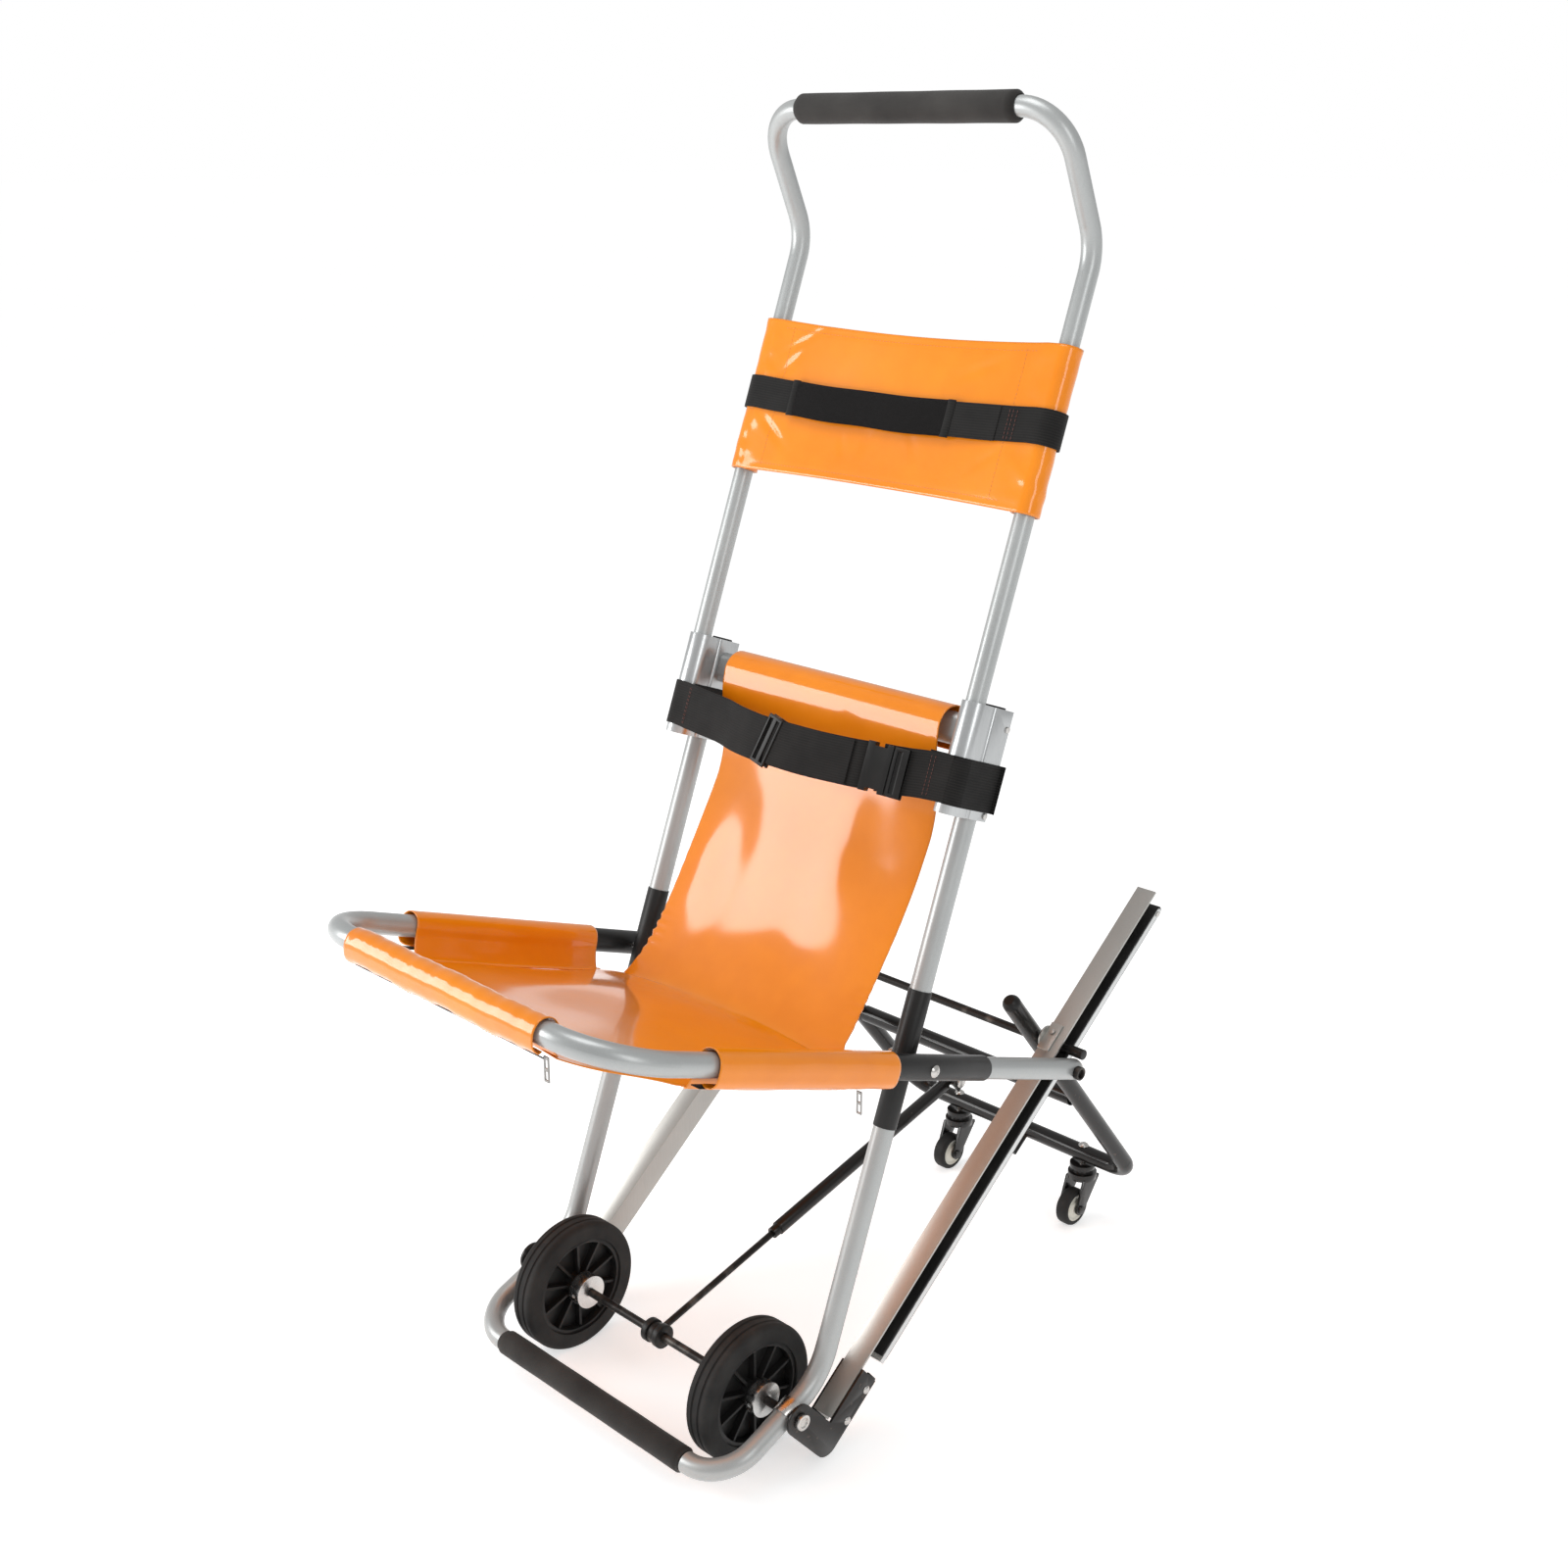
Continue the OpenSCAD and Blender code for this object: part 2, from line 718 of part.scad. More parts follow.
module bar_caps() {
    color([0.05, 0.05, 0.05]) track_frame() both_sides() difference() {
        x_bar(track_x + track_w / 2 + 1, 250, bar_behind, bar_up, 6.2);
        x_bar(track_x, 236, bar_behind, bar_up, 5);
    }
}

// ---- castor frame ----

module castor_frame() {
    side = [[arm_x, arm_top, arm_up], [arm_x, arm_low, arm_up]];
    color([0.12, 0.11, 0.11]) difference() {
        track_frame() bent_tube(concat(side, mirrored(side)), [34, 34], castor_tube_r);
        track_frame() x_bar(-220, 220, bar_behind, bar_up, 5 + running);
        for (side_x = [-castor_x, castor_x])
            translate([side_x, castor_y, castor_bar_z - 30]) cylinder(h = 60, r = 4);
    }
}

module cross_tube() {
    reach = arm_x - castor_tube_r;
    color([0.12, 0.11, 0.11]) track_frame() difference() {
        x_bar(-reach, reach, cross_behind, arm_up, castor_tube_r);
        x_bar(-reach - 1, reach + 1, cross_behind, arm_up, castor_tube_r - wall);
    }
}

// two plates that carry the strut's upper end
module strut_bracket() {
    color([0.12, 0.11, 0.11]) track_frame() for (side = [-1, 1]) translate([side * 12.5 - 1.5, 0, 0])
        difference() {
            translate([0, mount_behind - 10, mount_up - 10])
                cube([3, 20, arm_up - mount_up - castor_tube_r + 11]);
            x_bar(-1, 4, mount_behind, mount_up, bolt_r);
            x_bar(-1, 4, cross_behind, arm_up, castor_tube_r);
        }
}

module strut_bolt() {
    color([0.7, 0.68, 0.66]) track_frame() for (side = [-1, 1]) {
        x_bar(side > 0 ? 11 : -14, side > 0 ? 14 : -11, mount_behind, mount_up, bolt_r);
        x_bar(side > 0 ? 14 : -18, side > 0 ? 18 : -14, mount_behind, mount_up, 7);
    }
}

module castor_arm_caps() {
    color([0.05, 0.05, 0.05]) track_frame() both_sides() translate([arm_x, arm_top, arm_up])
        rotate([90, 0, 0]) {
            intersection() {
                sphere(r = castor_tube_r);
                translate([-20, -20, 0]) cube([40, 40, 9]);
            }
            translate([0, 0, -12]) cylinder(h = 12, r = castor_tube_r - wall);
        }
}

// foot lever that trips the castor frame when the chair is folded
module pedal() {
    tip = [15, castor_y - 32, castor_bar_z - 24];
    root = [15, castor_y - castor_tube_r * 0.8, castor_bar_z - castor_tube_r * 0.55];
    color([0.08, 0.08, 0.08]) difference() {
        rod(root, tip, 4.5);
        x_bar(0, 30, castor_y, castor_bar_z, castor_tube_r);
    }
}

module castor_bolts() {
    color([0.72, 0.71, 0.7]) for (x = [-castor_x, castor_x]) translate([x, castor_y, castor_bar_z]) {
        translate([0, 0, -26]) cylinder(h = 26 + castor_tube_r, r = 4);
        translate([0, 0, castor_tube_r]) domed_head(7, 4);
    }
}

// castor: the swivel housing, then two cheeks that hold the wheel's pin
module castor_fork() {
    r = castor_d / 2;
    top = castor_bar_z - castor_tube_r - 2;
    difference() {
        union() {
            translate([0, 0, top - 7]) cylinder(h = 6, r = 17);
            translate([0, 0, top - 13]) cylinder(h = 6, r = 14);
            translate([0, 0, top - 22]) cylinder(h = 9, r = 19);
            for (side = [-1, 1]) translate([side * 13.5, 0, 0]) rotate([90, 0, 90])
                linear_extrude(3.5, center = true) hull() {
                    translate([-castor_trail, r]) circle(r = 8);
                    translate([-15, top - 22]) square([32, 3]);
                }
        }
        translate([0, 0, top - 15]) cylinder(h = 40, r = 4 + running);
    }
    translate([0, -castor_trail, r]) {
        x_bar(-16, 16, 0, 0, 3);
        x_bar(15, 18, 0, 0, 5.5);
        x_bar(-18, -15, 0, 0, 5.5);
    }
}

module castor_fork_left() {
    color([0.06, 0.06, 0.06]) translate([castor_x, castor_y, 0]) castor_fork();
}

module castor_fork_right() {
    color([0.06, 0.06, 0.06]) translate([-castor_x, castor_y, 0]) castor_fork();
}

module castor_wheel() {
    r = castor_d / 2;
    rotate([0, 90, 0]) rotate_extrude() difference() {
        union() {
            translate([r - 4, 0]) circle(r = 4);
            translate([3 + running, -9]) square([r - 7, 18]);
            translate([r - 10, -7]) square([8, 14]);
            translate([3 + running, -9]) square([r - 9, 18]);
        }
        for (side = [-1, 1]) translate([12, side * 10]) square([6, 6], center = true);
    }
}

module castor_wheel_left() {
    color([0.85, 0.83, 0.78]) translate([castor_x, castor_y - castor_trail, castor_d / 2]) castor_wheel();
}

module castor_wheel_right() {
    color([0.85, 0.83, 0.78]) translate([-castor_x, castor_y - castor_trail, castor_d / 2]) castor_wheel();
}

// ---- strut ----

module strut_rod() {
    color([0.15, 0.14, 0.13]) strut_frame() difference() {
        union() {
            x_bar(-4.6, 4.6, 0, 0, 12);
            translate([0, 0, 8]) cylinder(h = cylinder_start + 20, r = 4);
        }
        x_bar(-6, 6, 0, 0, axle_r + running);
    }
}

module strut_cylinder() {
    color([0.08, 0.08, 0.08]) strut_frame() difference() {
        union() {
            translate([0, 0, cylinder_start]) cylinder(h = 10, r = 7);
            translate([0, 0, cylinder_start + 10]) cylinder(h = strut_len - cylinder_start - 24, r = 8.5);
            translate([0, 0, strut_len - 16]) cylinder(h = 12, r = 5);
            x_bar(-8, 8, 0, strut_len, 8);
        }
        translate([0, 0, cylinder_start - 1]) cylinder(h = 240, r = 4 + running);
        x_bar(-9, 9, 0, strut_len, bolt_r);
    }
}

// ---- main wheels ----

// tyre section: round shoulders and two grooves in the tread
module tyre() {
    r = wheel_d / 2;
    half = tyre_w / 2;
    rotate([0, 90, 0]) rotate_extrude() difference() {
        union() {
            translate([r - 20, -half]) square([14, tyre_w]);
            for (side = [-1, 1]) translate([r - 6, side * (half - 6)]) circle(r = 6);
            translate([r - 8, -half + 6]) square([8, tyre_w - 12]);
        }
        for (side = [-1, 1]) translate([r, side * 5]) circle(r = 1.6);
    }
}

module rim() {
    r = wheel_d / 2 - 20;
    half = tyre_w / 2;
    rotate([0, 90, 0]) {
        rotate_extrude() translate([r - 5, -half + 2]) square([5, tyre_w - 4]);
        rotate_extrude() translate([axle_r + running, -half]) square([11, tyre_w]);
        rotate_extrude() translate([14, -2]) square([r - 16, 4]);
        for (i = [0:9]) rotate([0, 0, 36 * i]) translate([14, -1.6, -half + 5]) cube([r - 17, 3.2, tyre_w - 10]);
    }
}

module tyre_left() {
    color([0.10, 0.10, 0.10]) translate([wheel_x, axle_y, axle_z]) tyre();
}

module tyre_right() {
    color([0.10, 0.10, 0.10]) translate([-wheel_x, axle_y, axle_z]) tyre();
}

module rim_left() {
    color([0.07, 0.07, 0.07]) translate([wheel_x, axle_y, axle_z]) rim();
}

module rim_right() {
    color([0.07, 0.07, 0.07]) translate([-wheel_x, axle_y, axle_z]) rim();
}

leg_tube();
leg_sleeves();
foot_grip();
block_left();
block_right();
block_screws();
leg_caps();
crossbar();
axle();
wheel_collars();
axle_nuts();
axle_saddles();
strut_collar();
seat_pivot_bolts();
waist_belt_left();
waist_belt_right();
belt_slider();
buckle_socket();
buckle_prong();
sling_back();
handle_tube();
handle_grip();
handle_plugs();
back_band();
head_strap();
strap_patch();
seat_tube();
rail_sleeves();
rail_caps();
rail_pins();
sling_seat();
zips();
zip_pulls();
track_left();
track_right();
guide_bars();
track_belts();
track_brackets();
bracket_screws();
pivot_tabs();
castor_pivot_bar();
bar_caps();
castor_frame();
cross_tube();
strut_bracket();
strut_bolt();
castor_arm_caps();
pedal();
castor_bolts();
castor_fork_left();
castor_fork_right();
castor_wheel_left();
castor_wheel_right();
strut_rod();
strut_cylinder();
tyre_left();
tyre_right();
rim_left();
rim_right();
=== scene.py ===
"""Looks of a folding stair chair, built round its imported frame.

The frame is in metres: +Z is up, the sitter faces -Y and +X is the sitter's left. Soft goods are laid out
in millimetres in two local frames, both from the seat's pivot line: leg points are (x, back, up the leg) and
seat points are (x, above, forward).
"""
import json

import bmesh
import bpy
import numpy as np
from mathutils import Euler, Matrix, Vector

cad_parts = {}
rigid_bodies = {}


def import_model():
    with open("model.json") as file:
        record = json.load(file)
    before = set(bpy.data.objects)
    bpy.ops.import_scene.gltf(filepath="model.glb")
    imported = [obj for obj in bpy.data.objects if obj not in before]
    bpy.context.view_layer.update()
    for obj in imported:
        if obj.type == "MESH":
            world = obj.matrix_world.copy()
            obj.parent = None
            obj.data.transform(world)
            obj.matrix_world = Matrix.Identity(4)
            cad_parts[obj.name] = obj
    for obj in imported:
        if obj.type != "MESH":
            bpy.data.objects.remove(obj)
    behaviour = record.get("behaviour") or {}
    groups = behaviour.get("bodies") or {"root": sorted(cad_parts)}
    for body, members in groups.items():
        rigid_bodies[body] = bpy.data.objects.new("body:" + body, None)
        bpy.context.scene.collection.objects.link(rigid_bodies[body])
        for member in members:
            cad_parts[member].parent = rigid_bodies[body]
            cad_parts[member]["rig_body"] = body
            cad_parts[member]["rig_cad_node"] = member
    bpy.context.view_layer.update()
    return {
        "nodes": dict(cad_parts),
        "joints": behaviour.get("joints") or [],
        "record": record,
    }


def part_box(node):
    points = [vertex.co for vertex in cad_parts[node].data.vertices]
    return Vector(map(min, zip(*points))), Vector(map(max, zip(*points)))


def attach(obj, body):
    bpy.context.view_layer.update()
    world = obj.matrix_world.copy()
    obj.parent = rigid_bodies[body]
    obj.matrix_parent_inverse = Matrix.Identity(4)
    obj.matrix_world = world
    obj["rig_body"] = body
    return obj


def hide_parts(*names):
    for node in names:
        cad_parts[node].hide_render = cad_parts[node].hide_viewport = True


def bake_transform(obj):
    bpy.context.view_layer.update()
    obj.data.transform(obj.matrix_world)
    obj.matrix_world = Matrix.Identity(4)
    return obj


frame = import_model()
NODES = frame["nodes"]
JOINTS = {joint["name"]: joint for joint in frame["joints"]}
MM = 0.001


# ---------------------------------------------------------------- places

def unit(v):
    """The vector, or each row of an array of vectors, divided by its own length."""
    v = np.asarray(v, float)
    return v / np.maximum(np.linalg.norm(v, axis=-1, keepdims=True), 1e-12)


def middle(node):
    """The middle of a node's box."""
    low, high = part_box(node)
    return (np.array(low) + np.array(high)) / 2


RIGHT = np.array([1.0, 0.0, 0.0])
PIVOT = np.array(JOINTS["seat_fold"]["pos_m"])
AXLE = np.array(JOINTS["track_fold"]["pos_m"])
LEG_UP = unit(JOINTS["handle_slide"]["axis"])
LEG_BACK = np.cross(LEG_UP, RIGHT)
SEAT_FORWARD = unit((PIVOT - middle("rail_pins")) * [0, 1, 1])
SEAT_ABOVE = np.cross(SEAT_FORWARD, RIGHT)


def leg_points(p):
    """Leg points in the frame: pivot + x right + back along the leg's normal + up the leg."""
    p = np.asarray(p, float) * MM
    return PIVOT + p[..., :1] * RIGHT + p[..., 1:2] * LEG_BACK + p[..., 2:3] * LEG_UP


def seat_points(p):
    """Seat points in the frame: pivot + x right + above the rails + forward along the rails."""
    p = np.asarray(p, float) * MM
    return PIVOT + p[..., :1] * RIGHT + p[..., 1:2] * SEAT_ABOVE + p[..., 2:3] * SEAT_FORWARD


def leg_coordinates(p):
    """Points of the frame, in metres, as leg points in millimetres."""
    d = np.asarray(p, float) - PIVOT
    return np.stack([d @ RIGHT, d @ LEG_BACK, d @ LEG_UP], -1) / MM


# ---------------------------------------------------------------- finishes

class Value:
    """A number socket that Python's arithmetic turns into Math nodes."""

    def __init__(self, finish, socket):
        self.finish = finish
        self.socket = socket

    def math(self, operation, *others):
        inputs = dict(enumerate((self, *others)))
        return self.finish.add("ShaderNodeMath", {"operation": operation}, inputs)

    def __add__(self, other):
        return self.math("ADD", other)

    def __sub__(self, other):
        return self.math("SUBTRACT", other)

    def __rsub__(self, other):
        return (self * -1).math("ADD", other)

    def __mul__(self, other):
        return self.math("MULTIPLY", other)

    def __pow__(self, other):
        return self.math("POWER", other)

    __radd__ = __add__
    __rmul__ = __mul__

    def sine(self):
        return self.math("SINE")


class Finish:
    """One procedural material: a Principled shader, constants on its sockets, and calls that add nodes."""

    def __init__(self, name, **constants):
        self.material = bpy.data.materials.new(name)
        self.material.use_nodes = True
        self.tree = self.material.node_tree
        self.shader = self.tree.nodes["Principled BSDF"]
        for key, value in constants.items():
            socket = key.replace("_", " ").title().replace("Ior", "IOR")
            self.shader.inputs[socket].default_value = value

    def add(self, kind, settings, inputs, output=0):
        """A node of a kind, its settings first, then values or links for its sockets."""
        node = self.tree.nodes.new(kind)
        for key, value in settings.items():
            if key == "stops":
                ramp = node.color_ramp
                while len(ramp.elements) < len(value):
                    ramp.elements.new(0.5)
                for element, (place, shade) in zip(ramp.elements, value):
                    element.position = place
                    element.color = (shade, shade, shade, 1)
            else:
                setattr(node, key, value)
        for socket, value in inputs.items():
            self.put(node.inputs[socket], value)
        return Value(self, node.outputs[output])

    def put(self, socket, value):
        """Links a value's socket to this one, or sets this one to a plain number or vector."""
        if isinstance(value, Value):
            self.tree.links.new(value.socket, socket)
        else:
            socket.default_value = value

    def place(self):
        """The point on the piece, in the frame's metres."""
        return self.add("ShaderNodeTexCoord", {}, {}, "Object")

    def uv(self):
        """The piece's own two lengths, in metres."""
        return self.add("ShaderNodeUVMap", {"uv_map": "lengths"}, {})

    def turned(self, vector, turn=(0, 0, 0), scale=(1, 1, 1)):
        """The vector, stretched and then turned."""
        inputs = {"Vector": vector, "Rotation": Euler(turn), "Scale": scale}
        return self.add("ShaderNodeMapping", {"vector_type": "POINT"}, inputs)

    def parts(self, vector):
        """The three numbers of a vector."""
        node = self.tree.nodes.new("ShaderNodeSeparateXYZ")
        self.put(node.inputs[0], vector)
        return [Value(self, socket) for socket in node.outputs]

    def noise(self, scale, vector=None, detail=3.0, roughness=0.5):
        inputs = {"Vector": vector or self.place(), "Scale": scale, "Detail": detail, "Roughness": roughness}
        return self.add("ShaderNodeTexNoise", {}, inputs)

    def cells(self, scale, vector=None):
        return self.add("ShaderNodeTexVoronoi", {}, {"Vector": vector or self.place(), "Scale": scale})

    def ramp(self, value, *stops):
        return self.add("ShaderNodeValToRGB", {"stops": stops}, {"Fac": value})

    def mix(self, factor, a, b):
        """A blend from colour a to colour b."""
        return self.add("ShaderNodeMix", {"data_type": "RGBA"}, {0: factor, 6: (*a, 1), 7: (*b, 1)}, 2)

    def colour(self, value):
        self.put(self.shader.inputs["Base Color"], value)
        return self

    def rough(self, value):
        self.put(self.shader.inputs["Roughness"], value)
        return self

    def bump(self, height, strength=0.3, distance=0.0004):
        inputs = {"Strength": strength, "Distance": distance, "Height": height}
        self.put(self.shader.inputs["Normal"], self.add("ShaderNodeBump", {}, inputs))
        return self


LEG_LEAN = float(np.arcsin(LEG_UP[1]))
TRACK_LEAN = -0.887


def shaded(colour, shade):
    """A colour with each of its three numbers multiplied by a shade."""
    return [shade * c for c in colour]


def silver_paint():
    """Powder coat on tube: fine metal flake, faint cloudiness and orange peel."""
    f = Finish("silver_paint", metallic=0.45, coat_weight=0.25, coat_roughness=0.2)
    flake = f.noise(2600, detail=1.0)
    cloud = f.noise(7)
    patches = f.ramp(flake * 0.7 + cloud * 0.3, (0.35, 0), (0.65, 1))
    f.colour(f.mix(patches, (0.36, 0.375, 0.375), (0.47, 0.485, 0.48)))
    return f.rough(0.30 + 0.16 * cloud).bump(f.noise(420) + 0.4 * flake, 0.10)


def black_plastic():
    """Moulded plastic: fine spark texture and slightly worn sheen."""
    f = Finish("black_plastic", specular_ior_level=0.3)
    worn = f.noise(22)
    f.colour(f.mix(worn, (0.006, 0.006, 0.006), (0.016, 0.0155, 0.015)))
    return f.rough(0.30 + 0.22 * worn).bump(f.noise(1900, detail=2.0), 0.16)


def grip_foam():
    """Closed-cell foam: small cells, soft matt sheen, greyed where hands rub."""
    f = Finish("grip_foam", specular_ior_level=0.2, sheen_weight=0.08, sheen_roughness=0.6)
    cell = f.cells(1300)
    rub = f.noise(14, detail=4.0)
    f.colour(f.mix(f.ramp(rub, (0.35, 0), (0.75, 1)), (0.016, 0.0145, 0.0135), (0.040, 0.037, 0.034)))
    return f.rough(0.82 - 0.12 * rub).bump(cell + 0.6 * f.noise(520), 0.45, 0.0005)


def alloy(name, lean, colour, metal=1.0, rough=0.24):
    """Extruded alloy: draw lines along Z, their pattern turned about X by lean, and slight tarnish."""
    f = Finish(name, metallic=metal)
    lines = f.noise(14, f.turned(f.place(), (lean, 0, 0), (90, 90, 4)), 4.0, 0.6)
    patches = f.ramp(lines * 0.6 + f.noise(9) * 0.4, (0.3, 0), (0.7, 1))
    f.colour(f.mix(patches, shaded(colour, 0.82), colour))
    return f.rough(rough + 0.14 * lines).bump(lines, 0.18, 0.0002)


def turned_alloy():
    """Lathe-turned alloy: fine rings about the axle."""
    f = Finish("turned_alloy", metallic=1.0)
    _, y, z = f.parts(f.place())
    radius = ((y - float(AXLE[1])) ** 2 + (z - float(AXLE[2])) ** 2) ** 0.5
    rings = (radius * 9000).sine() * 0.5 + 0.5
    f.colour(f.mix(f.noise(60), (0.60, 0.60, 0.59), (0.78, 0.78, 0.77)))
    return f.rough(0.24 + 0.14 * rings).bump(rings, 0.25, 0.0001)


def plated_steel(name="plated_steel", shade=1.0):
    """Zinc plate: bright, with cloudy passivation."""
    f = Finish(name, metallic=1.0)
    cloud = f.noise(160, detail=4.0)
    f.colour(f.mix(cloud, shaded((0.45, 0.43, 0.41), shade), shaded((0.66, 0.65, 0.63), shade)))
    return f.rough(0.16 + 0.22 * cloud).bump(f.noise(900), 0.12, 0.0002)


def dark_steel():
    """Blackened steel: satin, with rubbed streaks."""
    f = Finish("dark_steel", metallic=0.7)
    rub = f.ramp(f.noise(45, detail=5.0), (0.52, 0), (0.72, 1))
    f.colour(f.mix(rub, (0.022, 0.020, 0.019), (0.12, 0.11, 0.10)))
    return f.rough(0.36 + 0.2 * f.noise(30)).bump(f.noise(700), 0.15, 0.0002)


def black_paint(name="black_paint", gloss=0.5):
    """Stove enamel: glossy clear top with orange peel and faint chips of brown."""
    f = Finish(name, coat_weight=gloss, coat_roughness=0.12, specular_ior_level=0.12)
    chips = f.ramp(f.noise(120, detail=6.0), (0.66, 0), (0.70, 1))
    f.colour(f.mix(chips, (0.009, 0.008, 0.0075), (0.04, 0.028, 0.022)))
    return f.rough(0.30 + 0.2 * f.noise(25)).bump(f.noise(330), 0.14)


def webbing():
    """Woven polyester: ribs across the strap, crossed by finer lengthwise yarns."""
    f = Finish("webbing", specular_ior_level=0.15, sheen_weight=0.05, sheen_roughness=0.5)
    along, across, _ = f.parts(f.uv())
    ribs = (along * 2200 + (across * 2900).sine() * 0.9).sine() * 0.5 + 0.5
    yarns = (across * 5200).sine() * 0.5 + 0.5
    dust = f.noise(40, detail=4.0)
    weave = ribs * 0.65 + yarns * 0.35
    faded = f.ramp(weave * 0.6 + dust * 0.4, (0.25, 0), (0.8, 1))
    f.colour(f.mix(faded, (0.004, 0.004, 0.004), (0.022, 0.021, 0.020)))
    return f.rough(0.62 + 0.2 * weave).bump(weave + 0.3 * f.noise(1500), 0.55, 0.0004)


def vinyl():
    """Coated fabric: glossy skin over a scrim whose threads barely show, with soft scuffs."""
    f = Finish("vinyl", coat_weight=0.9, coat_roughness=0.09, specular_ior_level=0.12)
    along, across, _ = f.parts(f.uv())
    scrim = (along * 3400).sine() * (across * 3400).sine()
    scuff = f.noise(38, detail=5.0)
    cloud = f.noise(5)
    patches = f.ramp(cloud * 0.7 + scuff * 0.3, (0.3, 0), (0.7, 1))
    f.colour(f.mix(patches, (0.76, 0.205, 0.002), (0.88, 0.265, 0.003)))
    skin = f.noise(650, detail=2.0)
    return f.rough(0.24 + 0.16 * scuff).bump(scrim * 0.35 + skin + 2.0 * f.noise(90), 0.16, 0.0005)


def loop_tape():
    """Hook-and-loop tape: a dense black nap."""
    f = Finish("loop_tape", specular_ior_level=0.1, sheen_weight=0.08, sheen_roughness=0.4)
    nap = f.noise(1500, detail=5.0, roughness=0.7)
    tufts = f.cells(900)
    f.colour(f.mix(nap, (0.002, 0.002, 0.002), (0.011, 0.010, 0.010)))
    return f.rough(0.9).bump(nap + tufts, 0.9, 0.0009)


def thread(name, colour):
    """Sewing thread: two plies twisted, as fine diagonal bands."""
    f = Finish(name, sheen_weight=0.3)
    x, y, z = f.parts(f.place())
    plies = ((x + y + z) * 9000).sine() * 0.5 + 0.5
    f.colour(f.mix(plies, shaded(colour, 0.6), colour))
    return f.rough(0.55).bump(plies, 0.4, 0.0002)


def rubber(name, shade, rough, grain=700):
    """Black rubber: dusty bloom over fine grain."""
    f = Finish(name, specular_ior_level=0.22)
    bloom = f.noise(30, detail=5.0)
    dusty = f.ramp(bloom, (0.35, 0), (0.75, 1))
    f.colour(f.mix(dusty, shaded((1, 1, 1), shade), shaded((2.2, 2.1, 2.0), shade)))
    return f.rough(rough + 0.15 * bloom).bump(f.noise(grain), 0.3)


def cream_plastic():
    """Castor hub: glossy cream nylon, slightly mottled."""
    f = Finish("cream_plastic", specular_ior_level=0.5, coat_weight=0.3)
    f.colour(f.mix(f.noise(90), (0.62, 0.59, 0.50), (0.78, 0.76, 0.68)))
    return f.rough(0.26 + 0.12 * f.noise(40)).bump(f.noise(500), 0.1)


SILVER = silver_paint()
PLASTIC = black_plastic()
FOAM = grip_foam()
BLOCK_ALLOY = alloy("block_alloy", LEG_LEAN, (0.56, 0.575, 0.58), metal=0.85)
TRACK_ALLOY = alloy("track_alloy", TRACK_LEAN, (0.50, 0.49, 0.465), metal=0.75, rough=0.30)
GUIDE_ALLOY = alloy("guide_alloy", TRACK_LEAN, (0.66, 0.67, 0.67), rough=0.22)
TURNED = turned_alloy()
PLATED = plated_steel()
PULL_METAL = plated_steel("pull_metal", 0.5)
DARK_STEEL = dark_steel()
PAINT = black_paint()
CASTOR_PAINT = black_paint("castor_paint", 0.7)
WEBBING = webbing()
VINYL = vinyl()
LOOP_TAPE = loop_tape()
TYRE = rubber("tyre_rubber", 0.016, 0.62)
TREAD = rubber("castor_tread", 0.012, 0.5)
BELT = rubber("belt_rubber", 0.008, 0.42, 300)
CREAM = cream_plastic()
RED_THREAD = thread("red_thread", (0.16, 0.035, 0.022))
ORANGE_THREAD = thread("orange_thread", (0.85, 0.30, 0.05))

SLOT_FINISH = {
    "silver_tube": SILVER, "black_plastic": PLASTIC, "foam_grip": FOAM, "cast_alloy": BLOCK_ALLOY,
    "plated_steel": PLATED, "dark_steel": DARK_STEEL, "turned_alloy": TURNED, "black_webbing": WEBBING,
    "orange_vinyl": VINYL, "hook_and_loop": LOOP_TAPE, "zip_tape": WEBBING, "track_extrusion": TRACK_ALLOY,
    "belt_rubber": BELT, "black_painted_steel": PAINT, "castor_steel": CASTOR_PAINT,
    "castor_tread": CREAM, "tyre_rubber": TYRE,
}
NODE_SLOT = {part["node"]: part["material_slot"] for part in frame["record"]["subparts"]}
BODIES = frame["record"]["behaviour"]["bodies"]
NODE_BODY = {node: body for body, nodes in BODIES.items() for node in nodes}


# ---------------------------------------------------------------- making pieces

def piece(name, vertices, faces, finishes, smooth=True):
    """A mesh object at the origin from arrays of points and faces, with its finishes."""
    mesh = bpy.data.meshes.new(name)
    mesh.from_pydata(vertices.reshape(-1, 3).tolist(), [], faces)
    for finish in finishes:
        mesh.materials.append(finish.material)
    mesh.polygons.foreach_set("use_smooth", np.full(len(mesh.polygons), smooth))
    mesh.update()
    made = bpy.data.objects.new(name, mesh)
    bpy.context.scene.collection.objects.link(made)
    return made


def placed(made, body, nodes=()):
    """Rides a piece on a body, and hides the nodes it stands for."""
    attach(made, body)
    if nodes:
        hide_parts(*nodes)
    return made


def grid_faces(rows, columns, wrap_rows=False, wrap_columns=False):
    """Quads of a grid of points, with either direction closed on itself."""
    i = np.arange(rows if wrap_rows else rows - 1)
    j = np.arange(columns if wrap_columns else columns - 1)
    i, j = (a.ravel() for a in np.meshgrid(i, j, indexing="ij"))
    k, m = (i + 1) % rows, (j + 1) % columns
    return np.stack([i * columns + j, i * columns + m, k * columns + m, k * columns + j], -1).tolist()


def lengths_uv(made, u, v):
    """A UV map in metres: u and v give each point's own lengths along the two ways of its grid."""
    layer = made.data.uv_layers.new(name="lengths")
    index = np.empty(len(made.data.loops), np.int32)
    made.data.loops.foreach_get("vertex_index", index)
    layer.data.foreach_set("uv", np.stack([u.ravel()[index], v.ravel()[index]], -1).ravel())


